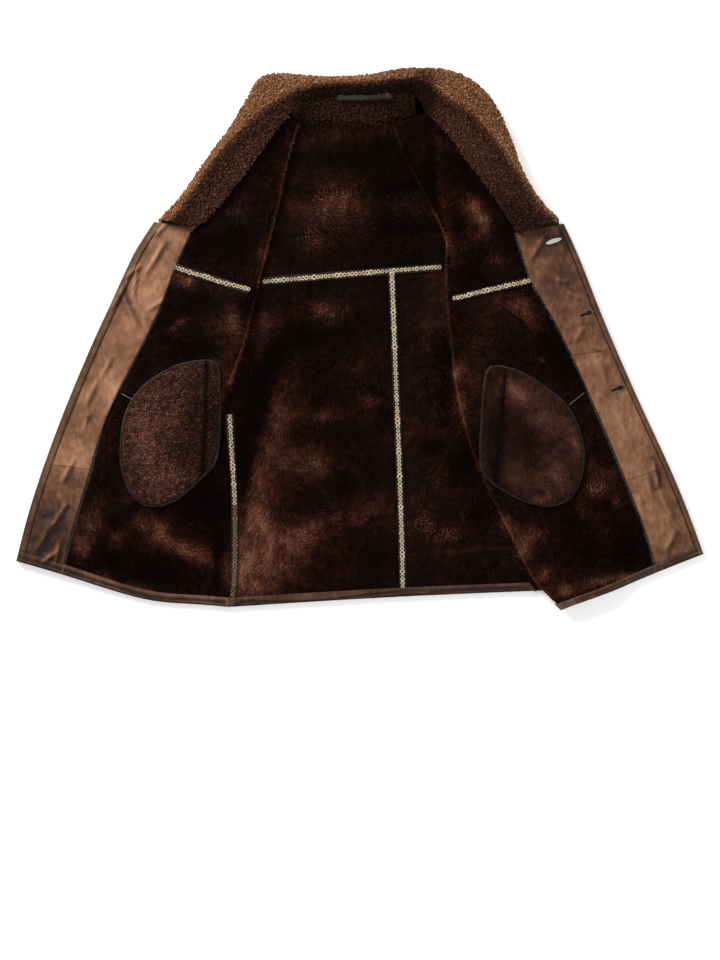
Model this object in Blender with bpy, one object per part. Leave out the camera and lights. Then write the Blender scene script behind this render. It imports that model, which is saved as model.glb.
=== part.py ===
import math
from collections import namedtuple

import bmesh
import bpy
from mathutils import Matrix, Vector

# A shearling coat laid open on a table, wool side up. Sizes are in millimetres; left and right are the
# wearer's, so the left front lies on the +X side. +Y points to the collar, z = 0 is the table.
MM = 0.001
GAP = 0.3              # room between two sewn pieces
WALL = 8.5             # skin and wool of the body pieces
ROLL = 10.5            # outer radius of a rolled fold of a front
LOW = WALL + GAP       # wool side of a front turned in over the back
LIFT = LOW + 2 * ROLL - WALL   # height of a front's skin side above the table where it rides over a sleeve
SLOPE = 60.0           # length over which a front comes down beside the sleeve
SLOPE_START = 55.0
BUTTON_LIFT = 5.3      # height of the right front edge, which rests on its buttons
BAND_RIGHT = 13.0      # width of each front edge band
BAND_LEFT = 10.0
FACING_THICK = 2.0
BAND_THICK = 2.6
TAPE_HALF = 5.5
TAPE_THICK = 1.0
SIDE_TAPE_END = 3.5    # row of the front at which the side tape goes under the fold
SIDE_TAPE_TRIM = 0.5
STAND_WALL = 8.0
COLLAR_WALL = 10.0
SLEEVE_SLIT = 2.0
BUTTON_RADIUS = 12.0
BUTTON_THICK = 3.6
BUTTON_IN = 0.1        # place of a button between the edge band and the middle of the facing

# Plan positions of each front from hem (row 0) to neck (row 12): front edge, inner edge of the facing (the neck
# seam from row 8 on), middle, folded ridge, side seam or armhole. fold is 1 where the front is turned in over the
# back, 0 where it lies flush with the side seam, and between them where the fold begins.
Front = namedtuple("Front", "edge facing middle ridge seam fold")
RIGHT = [
    Front((-530, -348), (-460, -368), (-332, -407), (-202, -419), (-202, -419), 0),
    Front((-512, -277), (-443, -300), (-324, -342), (-198, -356), (-198, -356), 0),
    Front((-487, -199), (-415, -207), (-308, -233), (-198, -261), (-198, -261), 0),
    Front((-454, -111), (-392, -128), (-299, -151), (-203, -173), (-203, -173), 0),
    Front((-415, -18), (-346, -36), (-273, -58), (-202, -74), (-214, -71), 0.85),
    Front((-380, 57), (-310, 36), (-242, 18), (-175, 2), (-212, 2), 1.5),
    Front((-347, 128), (-284, 106), (-222, 86), (-160, 67), (-212, 80), 1),
    Front((-316, 176), (-256, 167), (-198, 150), (-143, 134), (-211, 150), 1),
    Front((-290, 212), (-236, 198), (-184, 188), (-132, 177), (-209, 191), 1),
    Front((-246, 258), (-202, 238), (-163, 227), (-122, 219), (-202, 236), 1),
    Front((-208, 292), (-170, 278), (-143, 266), (-115, 255), (-177, 277), 1),
    Front((-177, 323), (-147, 314), (-129, 301), (-105, 291), (-140, 310), 1),
    Front((-150, 348), (-128, 346), (-113, 338), (-94, 329), (-116, 339), 1),
]
LEFT = [
    Front((533, -337), (462, -365), (386, -396), (313, -422), (350, -391), 1),
    Front((516, -291), (446, -311), (367, -348), (274, -382), (335, -336), 1),
    Front((480, -202), (412, -224), (319, -257), (223, -284), (290, -263), 1),
    Front((437, -111), (370, -123), (273, -156), (177, -184), (248, -164), 1),
    Front((397, -21), (329, -32), (239, -57), (150, -80), (232, -61), 1),
    Front((370, 44), (296, 33), (219, 13), (141, -1), (226, 16), 1),
    Front((344, 112), (265, 86), (203, 71), (135, 55), (221, 80), 1),
    Front((316, 174), (242, 159), (191, 136), (135, 115), (214, 142), 1),
    Front((288, 212), (240, 190), (188, 168), (135, 150), (210, 177), 1),
    Front((250, 255), (208, 238), (166, 207), (121, 181), (201, 232), 1),
    Front((219, 289), (177, 278), (138, 252), (96, 230), (178, 275), 1),
    Front((191, 323), (147, 320), (110, 298), (70, 281), (135, 311), 1),
    Front((160, 354), (121, 347), (88, 340), (53, 326), (105, 337), 1),
]
CENTRE_BACK = [(68, -402), (67, -342), (64, -247), (61, -160), (57, -67), (54, 18), (50, 101.5),
               (42, 153), (36, 188), (28, 227), (20, 264), (12, 300), (5, 331)]

# Rows of a sleeve, armhole to cuff: line under the front edge and line under the side seam.
Sleeve = namedtuple("Sleeve", "outer inner")
SLEEVE_RIGHT = [
    Sleeve((-203, 255), (-214, 10)), Sleeve((-250, 196), (-232, -21)), Sleeve((-308, 95), (-242, -64)),
    Sleeve((-345, -5), (-253, -114)), Sleeve((-378, -129), (-268, -181)), Sleeve((-407, -238), (-296, -277)),
    Sleeve((-430, -297), (-318, -332)),
]
SLEEVE_LEFT = [
    Sleeve((209, 255), (229, 10)), Sleeve((250, 193), (250, -24)), Sleeve((301, 72), (257, -67)),
    Sleeve((347, -21), (271, -129)), Sleeve((392, -137), (301, -199)), Sleeve((426, -226), (330, -277)),
    Sleeve((448, -272), (358, -315)),
]
ARMHOLE_TOP = 9.0      # rows of the front between which the sleeve is sewn in
ARMHOLE_FOOT = 5.0
ARMHOLE_GAP = 0.7
SLEEVE_PARTS = [0.2, 0.35, 0.5, 0.65, 0.8]

# Ground inside the sleeves and folds, over which the fronts ride high.
HIGH_RIGHT = [(-203, 262), (-250, 200), (-308, 95), (-345, -5), (-378, -129), (-411, -238), (-440, -310),
              (-312, -350), (-290, -277), (-262, -181), (-248, -130), (-232, -97), (-205, -86), (-150, -72),
              (-95, 60), (-60, 320), (-80, 400), (-200, 400)]
HIGH_LEFT = [(209, 262), (250, 198), (301, 72), (347, -21), (392, -137), (430, -226), (464, -286),
             (376, -330), (376, -402), (330, -480), (230, -440), (110, -120), (90, 120), (10, 300),
             (20, 400), (209, 400)]

# Soft swellings of the wool on the back: two ends, half width, height.
Swell = namedtuple("Swell", "start end half height")
BACK_SWELLS = [
    Swell((-126, -70), (-158, -250), 34, 4.0),
    Swell((-158, -250), (-164, -405), 34, 4.0),
    Swell((-60, -90), (20, -112), 26, 2.5),
]

# Collar along the neck seam, right end to left end: inner edge, top of the roll, outer edge, and heights of the
# wool at the inner edge and on the roll.
Collar = namedtuple("Collar", "inner ridge outer low high")
COLLAR = [
    Collar((-256, 162), (-287, 175), (-311, 181), 43, 52),
    Collar((-225, 188), (-262, 216), (-279, 212), 42, 55),
    Collar((-191, 230), (-231, 263), (-247, 259), 41, 56),
    Collar((-160, 270), (-200, 300), (-220, 297), 41, 56),
    Collar((-135, 306), (-175, 327), (-197, 328), 41, 56),
    Collar((-107, 340), (-137, 358), (-170, 377), 41, 55),
    Collar((-82, 360), (-98, 379), (-145, 409), 37, 53),
    Collar((-45, 370), (-46, 388), (-62, 402), 35, 51),
    Collar((12, 371), (12, 390), (11, 404), 35, 50),
    Collar((60, 374), (57, 395), (62, 415), 35, 50),
    Collar((86, 374), (88, 396), (100, 415), 36, 48),
    Collar((102, 346), (124, 376), (145, 413), 41, 48),
    Collar((136, 312), (174, 347), (199, 381), 41, 54),
    Collar((166, 269), (209, 304), (234, 313), 41, 57),
    Collar((197, 229), (237, 265), (253, 255), 41, 57),
    Collar((229, 181), (265, 222), (279, 212), 42, 56),
    Collar((246, 155), (284, 172), (310, 181), 43, 53),
]

# Stand of the collar: place along the collar's rows, its seam with the neck, and the height of the wool there.
Stand = namedtuple("Stand", "along foot height")
STAND = [
    Stand(5.5, (-104, 340), 15.5),
    Stand(6.0, (-97, 339.4), 12), Stand(6.5, (-71, 337.2), 10.5), Stand(7.0, (-45, 335.2), 10),
    Stand(7.5, (-16, 333.4), 10), Stand(8.0, (12, 332.6), 10), Stand(8.5, (36, 334), 11),
    Stand(9.0, (60, 335.6), 13), Stand(9.5, (75, 338.6), 18), Stand(10.0, (86, 342.4), 24),
]

# Outline of each pocket and the seam between its bag and the strip beside it, seen from above.
Pocket = namedtuple("Pocket", "outline seam_top seam_foot last_row")
POCKETS = {
    "right": Pocket([(-221, -45), (-240, -41), (-277, -47), (-321, -71), (-353, -108), (-365, -160), (-362, -213),
                     (-343, -251), (-316, -261), (-281, -250), (-246, -218), (-224, -193), (-218, -145),
                     (-217, -88)], (-234, -20), (-243.5, -275), 4.5),
    "left": Pocket([(203, -50), (226, -51), (254, -61), (281, -78), (320, -109), (341, -156), (344, -195),
                    (333, -238), (304, -260), (265, -256), (226, -238), (199, -218), (189, -196), (191, -137),
                    (195, -75)], (228, -30), (205, -285), 5),
}
POCKET_POINTS = 30
BAG_THICK = 8.0
BAG_DOME = 4.0
DOME_RAMP = 45.0
POCKET_CUT = (-5, 90)
POCKET_REACH = 200.0
BINDING_WIDE = 4.0
BINDING_THICK = 5.0
FLAT_ENOUGH = 0.45     # upward share of a front's wool face on which a pocket can lie

# Buttonholes in the left front: centre, half length, half width, direction in degrees.
Buttonhole = namedtuple("Buttonhole", "centre half_long half_wide turn")
BUTTONHOLES = [
    Buttonhole((301, 147), 14, 3.8, 20),
    Buttonhole((350, 33.5), 10.5, 1.95, 22),
    Buttonhole((398, -82), 10.5, 1.95, 24),
]
BUTTON_ROWS = [6.45, 5.05, 3.3]

ROW_STEPS = [0.0, 0.24, 0.62, 1, 1.5, 2, 2.5, 3, 3.5, 3.75, 4, 4.25, 4.5, 5, 5.5, 5.92, 6, 6.08, 6.5, 7, 7.5, 8, 8.5,
             9, 9.5, 10, 10.5, 11, 11.5, 12]
HEM_TOP = ROW_STEPS.index(0.24)
YOKE = ROW_STEPS.index(6)
FACING_END = ROW_STEPS.index(7)
NECK = len(ROW_STEPS) - 1
ROLL_STEPS = 5
HIDDEN = ROLL_STEPS + 2
# Columns of a front: edge, band, facing, body, roll, turned-in part, seam.
BODY_STEPS = [1.25, 1.5, 1.75, 2.0, 2.25, 2.5, 2.75]
COL_BAND = 1
COL_FACING = 3
COL_TOP = COL_FACING + len(BODY_STEPS) + 1
COL_SEAM = COL_TOP + HIDDEN
FOLD_STRAIGHT = 4.0
FOLD_STRAIGHT_MIN = 3.0
FLUSH_REACH = 34.0     # width of the roll columns where the front lies flush
# Columns of the back, right seam to left seam.
BACK_TAPE_IN = 11.0
BACK_RIDGE_IN = 6.0
BACK_PARTS = 4
YOKE_ROW = 6           # row of the yoke seam, and how far up the left end of the back's rows is drawn near it
YOKE_RISE = 0.5
YOKE_REACH = 1.4
UNDER_FOLD = 34.0      # length by which the back hem band stops before the left fold
COL_CENTRE = 2 + BACK_PARTS
COL_BACK_END = 2 * COL_CENTRE


def mix(a, b, t):
    return a + (b - a) * t


def spline(points, t, closed=False):
    count = len(points)
    base = int(math.floor(t))
    if not closed:
        base = max(0, min(base, count - 2))
    part = t - base

    def at(index):
        if closed:
            return Vector(points[index % count])
        if index < 0:
            return 2 * Vector(points[0]) - Vector(points[1])
        if index >= count:
            return 2 * Vector(points[-1]) - Vector(points[-2])
        return Vector(points[index])

    p0, p1, p2, p3 = at(base - 1), at(base), at(base + 1), at(base + 2)
    bend = 2 * p0 - 5 * p1 + 4 * p2 - p3
    cubic = -p0 + 3 * p1 - 3 * p2 + p3
    return (2 * p1 + (p2 - p0) * part + bend * part ** 2 + cubic * part ** 3) / 2


def column(rows, name):
    return [getattr(row, name) for row in rows]


def level(rows, name, t):
    base = max(0, min(int(t), len(rows) - 2))
    return mix(getattr(rows[base], name), getattr(rows[base + 1], name), t - base)


def ease(t):
    t = max(0.0, min(1.0, t))
    return t * t * (3 - 2 * t)


def inside_distance(polygon, place):
    nearest = 1e9
    inside = False
    for k in range(len(polygon)):
        a = Vector(polygon[k - 1])
        b = Vector(polygon[k])
        side = b - a
        part = max(0.0, min(1.0, (place - a).dot(side) / side.length_squared))
        nearest = min(nearest, (place - a - side * part).length)
        if (a.y > place.y) != (b.y > place.y):
            cross = a.x + (place.y - a.y) / (b.y - a.y) * (b.x - a.x)
            if place.x < cross:
                inside = not inside
    return nearest if inside else -nearest


def wool_height(place, high, base):
    ramp = ease((inside_distance(high, place) + SLOPE_START) / SLOPE)
    return WALL + base + (LIFT - base) * ramp


def flush_part(seam, out, high):
    # the front runs straight into the side seam
    points = []
    for index in range(HIDDEN + 1):
        place = seam + out * (FLUSH_REACH * (1 - index / HIDDEN))
        points.append(Vector((place.x, place.y, wool_height(place, high, 0))))
    return points


def folded_part(ridge, seam, out):
    # half a roll at the ridge, then flat on the back out to the seam
    points = []
    for index in range(HIDDEN + 1):
        turn = math.pi * min(index, ROLL_STEPS) / ROLL_STEPS
        place = ridge + out * (ROLL - ROLL * math.sin(turn))
        if index > ROLL_STEPS:
            place = mix(place, seam, (index - ROLL_STEPS) / (HIDDEN - ROLL_STEPS))
        points.append(Vector((place.x, place.y, LOW + ROLL + ROLL * math.cos(turn))))
    return points


def rising_part(seam, out, fold):
    # the end of the fold: the front climbs from the seam and rolls over outward
    angle = math.pi * fold
    straight = FOLD_STRAIGHT_MIN + FOLD_STRAIGHT * fold ** 4
    bend = Vector((straight * math.cos(angle), WALL + GAP * fold + straight * math.sin(angle)))
    centre = bend + ROLL * Vector((math.sin(angle), -math.cos(angle)))
    points = []
    for index in range(HIDDEN + 1):
        if index <= ROLL_STEPS:
            turn = angle * index / ROLL_STEPS
            spot = centre - ROLL * Vector((math.sin(turn), -math.cos(turn)))
        else:
            spot = mix(bend, Vector((0, WALL + GAP * fold)), (index - ROLL_STEPS) / (HIDDEN - ROLL_STEPS))
        place = seam + out * spot.x
        points.append(Vector((place.x, place.y, spot.y)))
    return points


def front_row(rows, high, v, edge_lift, band):
    edge = spline(column(rows, "edge"), v)
    facing = spline(column(rows, "facing"), v)
    middle = spline(column(rows, "middle"), v)
    ridge = spline(column(rows, "ridge"), v)
    seam = spline(column(rows, "seam"), v)
    fold = min(1.0, level(rows, "fold", v))
    out = (middle - ridge).normalized()
    if fold == 0:
        turned = flush_part(seam, out, high)
    elif fold == 1:
        turned = folded_part(ridge, seam, out)
    else:
        turned = rising_part(seam, out, fold)
    plan = [edge, facing, middle, turned[0].xy]
    steps = [0, band / (facing - edge).length, 0.6, 1] + BODY_STEPS
    points = []
    for index, step in enumerate(steps):
        place = spline(plan, step)
        base = edge_lift * max(0.0, min(1.0, 1 - (index - COL_FACING) / 4))
        points.append(Vector((place.x, place.y, wool_height(place, high, base))))
    return points + turned


def swell_height(place):
    total = 0.0
    for swell in BACK_SWELLS:
        a = Vector(swell.start)
        side = Vector(swell.end) - a
        part = max(0.0, min(1.0, (place - a).dot(side) / side.length_squared))
        away = (place - a - side * part).length
        total = max(total, swell.height * ease(1 - away / swell.half))
    return total


def back_row(v):
    right = spline(column(RIGHT, "seam"), v)
    lifted = v + YOKE_RISE * math.exp(-((v - YOKE_ROW) / YOKE_REACH) ** 2)
    left = spline(column(LEFT, "seam"), lifted)
    centre = spline(CENTRE_BACK, v)
    ridge_right = spline(column(RIGHT, "ridge"), v)
    ridge_left = spline(column(LEFT, "ridge"), v)
    first = mix(right, centre, (ridge_right.x + BACK_TAPE_IN - right.x) / (centre.x - right.x))
    last = mix(left, centre, (left.x - ridge_left.x + BACK_RIDGE_IN) / (left.x - centre.x))
    near_right = mix(centre, right, TAPE_HALF / (centre - right).length)
    near_left = mix(centre, left, TAPE_HALF / (centre - left).length)
    plan = [right]
    plan += [mix(first, near_right, k / BACK_PARTS) for k in range(BACK_PARTS + 1)]
    plan += [centre]
    plan += [mix(near_left, last, k / BACK_PARTS) for k in range(BACK_PARTS + 1)]
    plan += [left]
    return [Vector((place.x, place.y, WALL + swell_height(place))) for place in plan]


def outward(net):
    rows, cols = len(net), len(net[0])
    normals = []
    for i in range(rows):
        line = []
        for j in range(cols):
            across = net[i][min(j + 1, cols - 1)] - net[i][max(j - 1, 0)]
            along = net[min(i + 1, rows - 1)][j] - net[max(i - 1, 0)][j]
            line.append(across.cross(along).normalized())
        normals.append(line)
    sign = 1 if normals[rows // 2][min(COL_BAND, cols - 1)].z > 0 else -1
    return [[normal * sign for normal in line] for line in normals]


def trimmed(grid, trims):
    first_row, last_row, first_col, last_col = trims
    result = [[point.copy() for point in line] for line in grid]
    for j in range(len(grid[0])):
        result[0][j] += (grid[1][j] - grid[0][j]).normalized() * first_row
        result[-1][j] += (grid[-2][j] - grid[-1][j]).normalized() * last_row
    for i in range(len(grid)):
        result[i][0] += (grid[i][1] - grid[i][0]).normalized() * first_col
        result[i][-1] += (grid[i][-2] - grid[i][-1]).normalized() * last_col
    return result


def shifted(net, normals, rows, cols, distance):
    return [[net[i][j] + normals[i][j] * distance for j in range(cols[0], cols[1] + 1)]
            for i in range(rows[0], rows[1] + 1)]


def material(name, colour, rough, metallic=0.0):
    item = bpy.data.materials.new(name)
    item.use_nodes = True
    shader = item.node_tree.nodes["Principled BSDF"]
    shader.inputs["Base Color"].default_value = (*colour, 1)
    shader.inputs["Roughness"].default_value = rough
    shader.inputs["Metallic"].default_value = metallic
    item.diffuse_color = (*colour, 1)
    return item


def finish(name, bm, look):
    bmesh.ops.triangulate(bm, faces=bm.faces[:], quad_method="FIXED", ngon_method="BEAUTY")
    bmesh.ops.recalc_face_normals(bm, faces=bm.faces[:])
    mesh = bpy.data.meshes.new(name)
    bm.to_mesh(mesh)
    bm.free()
    item = bpy.data.objects.new(name, mesh)
    if look is None:
        cutters.objects.link(item)
        item.hide_render = True
        item.display_type = "WIRE"
    else:
        coat.objects.link(item)
        mesh.materials.append(look)
    return item


def grid_mesh(rows, cols):
    bm = bmesh.new()
    bmesh.ops.create_grid(bm, x_segments=cols - 1, y_segments=rows - 1, size=1)
    bm.verts.ensure_lookup_table()
    places = {}
    for vert in bm.verts:
        places[vert] = (round((vert.co.y + 1) / 2 * (rows - 1)), round((vert.co.x + 1) / 2 * (cols - 1)))
    return bm, places


def wall(name, under, over, look, keep=None):
    # a sheet with its two faces on two nets of points
    bm, places = grid_mesh(len(under), len(under[0]))
    if keep:
        dropped = [face for face in bm.faces if not keep(*[min(places[v][k] for v in face.verts) for k in (0, 1)])]
        bmesh.ops.delete(bm, geom=dropped, context="FACES")
    bmesh.ops.triangulate(bm, faces=bm.faces[:], quad_method="FIXED")
    below = {vert: places[vert] for vert in bm.verts}
    made = bmesh.ops.extrude_face_region(bm, geom=bm.faces[:], use_keep_orig=True)
    above = [item for item in made["geom"] if isinstance(item, bmesh.types.BMVert)]
    for vert in above:
        row = round((vert.co.y + 1) / 2 * (len(under) - 1))
        col = round((vert.co.x + 1) / 2 * (len(under[0]) - 1))
        vert.co = over[row][col] * MM
    for vert, (row, col) in below.items():
        vert.co = under[row][col] * MM
    return finish(name, bm, look)


def tube(name, rings, look, looped=False):
    # closed sections joined one after another, capped at both ends or joined into a loop
    loops = rings + rings[:1] if looped else rings
    bm, places = grid_mesh(len(loops), len(loops[0]) + 1)
    for vert, (row, col) in places.items():
        vert.co = loops[row][col % len(loops[0])] * MM
    bmesh.ops.remove_doubles(bm, verts=bm.verts[:], dist=1e-6)
    if not looped:
        bmesh.ops.holes_fill(bm, edges=[edge for edge in bm.edges if edge.is_boundary], sides=0)
    return finish(name, bm, look)


def prism(name, outline, low, high, look=None):
    bm = bmesh.new()
    made = bmesh.ops.create_circle(bm, cap_ends=True, segments=len(outline), radius=1)
    for vert, place in zip(made["verts"], outline):
        vert.co = Vector((place[0], place[1], low)) * MM
    raised = bmesh.ops.extrude_face_region(bm, geom=bm.faces[:], use_keep_orig=True)
    for item in raised["geom"]:
        if isinstance(item, bmesh.types.BMVert):
            item.co.z = high * MM
    return finish(name, bm, look)


def cut(item, cutter, operation):
    change = item.modifiers.new(cutter.name, "BOOLEAN")
    change.object = cutter
    change.operation = operation
    change.solver = "EXACT"


def closed_curve(points, count):
    return [spline(points, k * len(points) / count, closed=True) for k in range(count)]


def grown(outline, distance):
    centre = sum(outline, Vector((0, 0))) / len(outline)
    result = []
    for k in range(len(outline)):
        side = outline[(k + 1) % len(outline)] - outline[k - 1]
        away = Vector((side.y, -side.x)).normalized()
        if away.dot(outline[k] - centre) < 0:
            away = -away
        result.append(outline[k] + away * distance)
    return result


for old in list(bpy.data.objects):
    bpy.data.objects.remove(old)
coat = bpy.data.collections.new("shearling_coat")
cutters = bpy.data.collections.new("cutters")
bpy.context.scene.collection.children.link(coat)
bpy.context.scene.collection.children.link(cutters)

WOOL = material("wool", (0.055, 0.026, 0.017), 0.95)
CURL = material("curly_wool", (0.115, 0.058, 0.034), 0.95)
LEATHER = material("leather", (0.19, 0.105, 0.062), 0.55)
HEM_LEATHER = material("hem_leather", (0.085, 0.043, 0.028), 0.6)
TAPE = material("seam_tape", (0.42, 0.33, 0.24), 0.85)
LOOP = material("loop_leather", (0.16, 0.13, 0.11), 0.6)
HORN = material("button_horn", (0.05, 0.03, 0.02), 0.35)

# Back
back = [back_row(v) for v in ROW_STEPS]
back_out = outward(back)


def back_piece(name, rows, cols, trims):
    over = trimmed(shifted(back, back_out, rows, cols, 0), trims)
    under = [[Vector((point.x, point.y, 0)) for point in line] for line in over]
    return wall(name, under, over, WOOL)


def overlay(name, net, normals, rows, cols, trims, thick, look, keep=None, start=GAP):
    under = trimmed(shifted(net, normals, rows, cols, start), trims)
    over = trimmed(shifted(net, normals, rows, cols, start + thick), trims)
    return wall(name, under, over, look, keep)


HALF = GAP / 2
SEAM_TRIM = 0.4
back_piece("back_right", (0, YOKE), (0, COL_CENTRE), (0, HALF, HALF, HALF))
back_piece("back_left", (0, YOKE), (COL_CENTRE, COL_BACK_END), (0, HALF, HALF, HALF))
back_piece("back_yoke", (YOKE, NECK), (0, COL_BACK_END), (HALF, HALF, HALF, HALF))
overlay("hem_band_back", back, back_out, (0, HEM_TOP), (0, COL_BACK_END - 1), (0, 0, GAP, UNDER_FOLD), BAND_THICK,
        HEM_LEATHER)
overlay("tape_back_yoke", back, back_out, (YOKE - 1, YOKE + 1), (1, COL_BACK_END - 1), (0, 0, 0, 0),
        TAPE_THICK, TAPE)
overlay("tape_centre_back", back, back_out, (HEM_TOP, YOKE - 1), (COL_CENTRE - 1, COL_CENTRE + 1),
        (GAP, GAP, 0, 0), TAPE_THICK, TAPE)
overlay("tape_side_right", back, back_out, (HEM_TOP, ROW_STEPS.index(SIDE_TAPE_END)), (0, 1),
        (GAP, 0, SIDE_TAPE_TRIM, 0), TAPE_THICK, TAPE)

# Fronts with their facings, bands and tapes
FrontSide = namedtuple("FrontSide", "name rows high lift band splits hem_end")
SIDES = [
    FrontSide("right", RIGHT, HIGH_RIGHT, BUTTON_LIFT, BAND_RIGHT, [2], COL_SEAM),
    FrontSide("left", LEFT, HIGH_LEFT, 0.0, BAND_LEFT, [2, 4], COL_TOP + 2),
]
nets = {}
for side in SIDES:
    net = [front_row(side.rows, side.high, v, side.lift, side.band) for v in ROW_STEPS]
    normals = outward(net)
    nets[side.name] = (net, normals)
    for name, rows, trims in (("front_", (0, YOKE), (0, SEAM_TRIM, 0, HALF)),
                              ("front_yoke_", (YOKE, NECK), (SEAM_TRIM, HALF, 0, HALF))):
        over = trimmed(shifted(net, normals, rows, (0, COL_SEAM), 0), trims)
        under = trimmed(shifted(net, normals, rows, (0, COL_SEAM), -WALL), trims)
        start = rows[0]
        wall(name + side.name, under, over, WOOL,
             lambda row, col, start=start: row + start < FACING_END or col >= COL_FACING)
    ends = [HEM_TOP] + [ROW_STEPS.index(row) for row in side.splits] + [FACING_END]
    for k, label in enumerate(["lower", "middle", "upper"][:len(ends) - 2] + ["upper"]):
        overlay(f"facing_{side.name}_{label}", net, normals, (ends[k], ends[k + 1]), (COL_BAND, COL_FACING),
                (HALF, HALF, HALF, 0), FACING_THICK, LEATHER)
    overlay("edge_band_" + side.name, net, normals, (HEM_TOP, FACING_END), (0, COL_BAND), (HALF, 0, 0, HALF),
            BAND_THICK, LEATHER)
    overlay("hem_band_" + side.name, net, normals, (0, HEM_TOP), (0, side.hem_end), (0, HALF, 0, GAP), BAND_THICK,
            HEM_LEATHER)
    overlay("tape_front_" + side.name, net, normals, (YOKE - 1, YOKE + 1), (COL_FACING, COL_TOP),
            (0, 0, GAP, 0), TAPE_THICK, TAPE)

# Pockets: a domed bag of curly wool, the strip beside it and a leather binding round both


def seam_side(name, pocket, sign, gap):
    # ground on one side of the seam between the bag and its strip
    far = POCKET_REACH * sign
    top = (pocket.seam_top[0] + gap * sign, pocket.seam_top[1])
    foot = (pocket.seam_foot[0] + gap * sign, pocket.seam_foot[1])
    return prism(name, [top, foot, (foot[0] + far, foot[1]), (top[0] + far, top[1])], *POCKET_CUT)


for name, pocket in POCKETS.items():
    net, normals = nets[name]
    rows = (ROW_STEPS.index(1), ROW_STEPS.index(pocket.last_row))
    cols = (COL_FACING, COL_SEAM)

    def upward(row, col, net=net, normals=normals, rows=rows, cols=cols):
        corners = [normals[row + rows[0] + a][col + cols[0] + b].z for a in (0, 1) for b in (0, 1)]
        return min(corners) > FLAT_ENOUGH

    line = closed_curve(pocket.outline, POCKET_POINTS)
    under = shifted(net, normals, rows, cols, GAP)
    over = []
    for i in range(rows[0], rows[1] + 1):
        over.append([])
        for j in range(cols[0], cols[1] + 1):
            dome = BAG_DOME * ease(inside_distance(line, net[i][j].xy) / DOME_RAMP)
            over[-1].append(net[i][j] + normals[i][j] * (GAP + BAG_THICK + dome))
    away = -1 if name == "right" else 1
    whole = prism("pocket_cut_" + name, line, *POCKET_CUT)
    for label, sign in (("bag_", away), ("strip_", -away)):
        piece = wall("pocket_" + label + name, under, over, CURL, upward)
        cut(piece, whole, "INTERSECT")
        cut(piece, seam_side("side_cut_" + label + name, pocket, sign, HALF), "INTERSECT")
    piece = overlay("pocket_binding_" + name, net, normals, rows, cols, (0, 0, 0, 0), BINDING_THICK, HEM_LEATHER,
                    upward)
    cut(piece, prism("binding_cut_" + name, grown(line, BINDING_WIDE), *POCKET_CUT), "INTERSECT")
    cut(piece, prism("binding_hole_" + name, grown(line, GAP), *POCKET_CUT), "DIFFERENCE")

# Sleeves: flattened tubes under the fronts


def sleeve_ring(rows, seam, sign, k, inset):
    reach = (Vector(rows[k].inner) - Vector(rows[k].outer)).length
    half = WALL + SLEEVE_SLIT / 2 - inset
    middle = WALL + SLEEVE_SLIT / 2
    far = reach - inset
    top = [(inset + 0.3 * half, 0.72), (inset + half, 1)]
    top += [(reach * part, 1) for part in SLEEVE_PARTS]
    top += [(far - half, 1), (far - 0.3 * half, 0.72)]
    ring = [(inset, 0)] + top + [(far, 0)] + [(along, -height) for along, height in top[::-1]]
    points = []
    for along, height in ring:
        part = along / reach
        place = mix(Vector(rows[k].outer), Vector(rows[k].inner), part)
        if k == 0:
            place = spline(seam, mix(ARMHOLE_TOP, ARMHOLE_FOOT, part)) + Vector((sign * ARMHOLE_GAP, 0))
        points.append(Vector((place.x, place.y, middle + height * half)))
    return points


for name, rows, seam, sign in (("right", SLEEVE_RIGHT, column(RIGHT, "seam"), -1),
                               ("left", SLEEVE_LEFT, column(LEFT, "seam"), 1)):
    outside = [sleeve_ring(rows, seam, sign, k, 0) for k in range(len(rows))]
    inside = [sleeve_ring(rows, seam, sign, k, WALL) for k in range(len(rows))]
    tube("sleeve_" + name, outside + inside[::-1], WOOL, looped=True)

# Collar, its stand and the hanger loop
FOOT = 0.0
LEG_STEPS = 4
BAND_STEPS = 4


def collar_place(row_at, along):
    inner, ridge, outer = row_at
    first = (ridge - inner).length
    second = (outer - ridge).length
    if along <= first:
        return mix(inner, ridge, along / first)
    return mix(ridge, outer, (along - first) / second)


def collar_section(v):
    row_at = [spline(column(COLLAR, part), v) for part in ("inner", "ridge", "outer")]
    low = level(COLLAR, "low", v)
    high = level(COLLAR, "high", v)
    first = (row_at[1] - row_at[0]).length
    second = (row_at[2] - row_at[1]).length
    over = []
    under = []
    for k in range(BAND_STEPS + 1):
        turn = math.pi / 2 * k / BAND_STEPS
        along = first * k / BAND_STEPS
        over.append((along, low + (high - low) * math.sin(turn)))
        under.append((along, low - COLLAR_WALL + (high - low) * math.sin(turn)))
    thin = max(second - COLLAR_WALL, 1.5)
    for k in range(1, LEG_STEPS + 1):
        turn = math.pi / 2 * k / LEG_STEPS
        drop = math.cos(turn) ** 0.7
        over.append((first + second * math.sin(turn), FOOT + (high - FOOT) * drop))
        under.append((first + thin * math.sin(turn), FOOT + (high - COLLAR_WALL - FOOT) * drop))
    points = []
    for along, height in over + under[::-1]:
        place = collar_place(row_at, along)
        points.append(Vector((place.x, place.y, height)))
    return points


COLLAR_STEPS = [k / 2 for k in range(2 * len(COLLAR) - 1)]
tube("collar", [collar_section(v) for v in COLLAR_STEPS], CURL)

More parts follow.
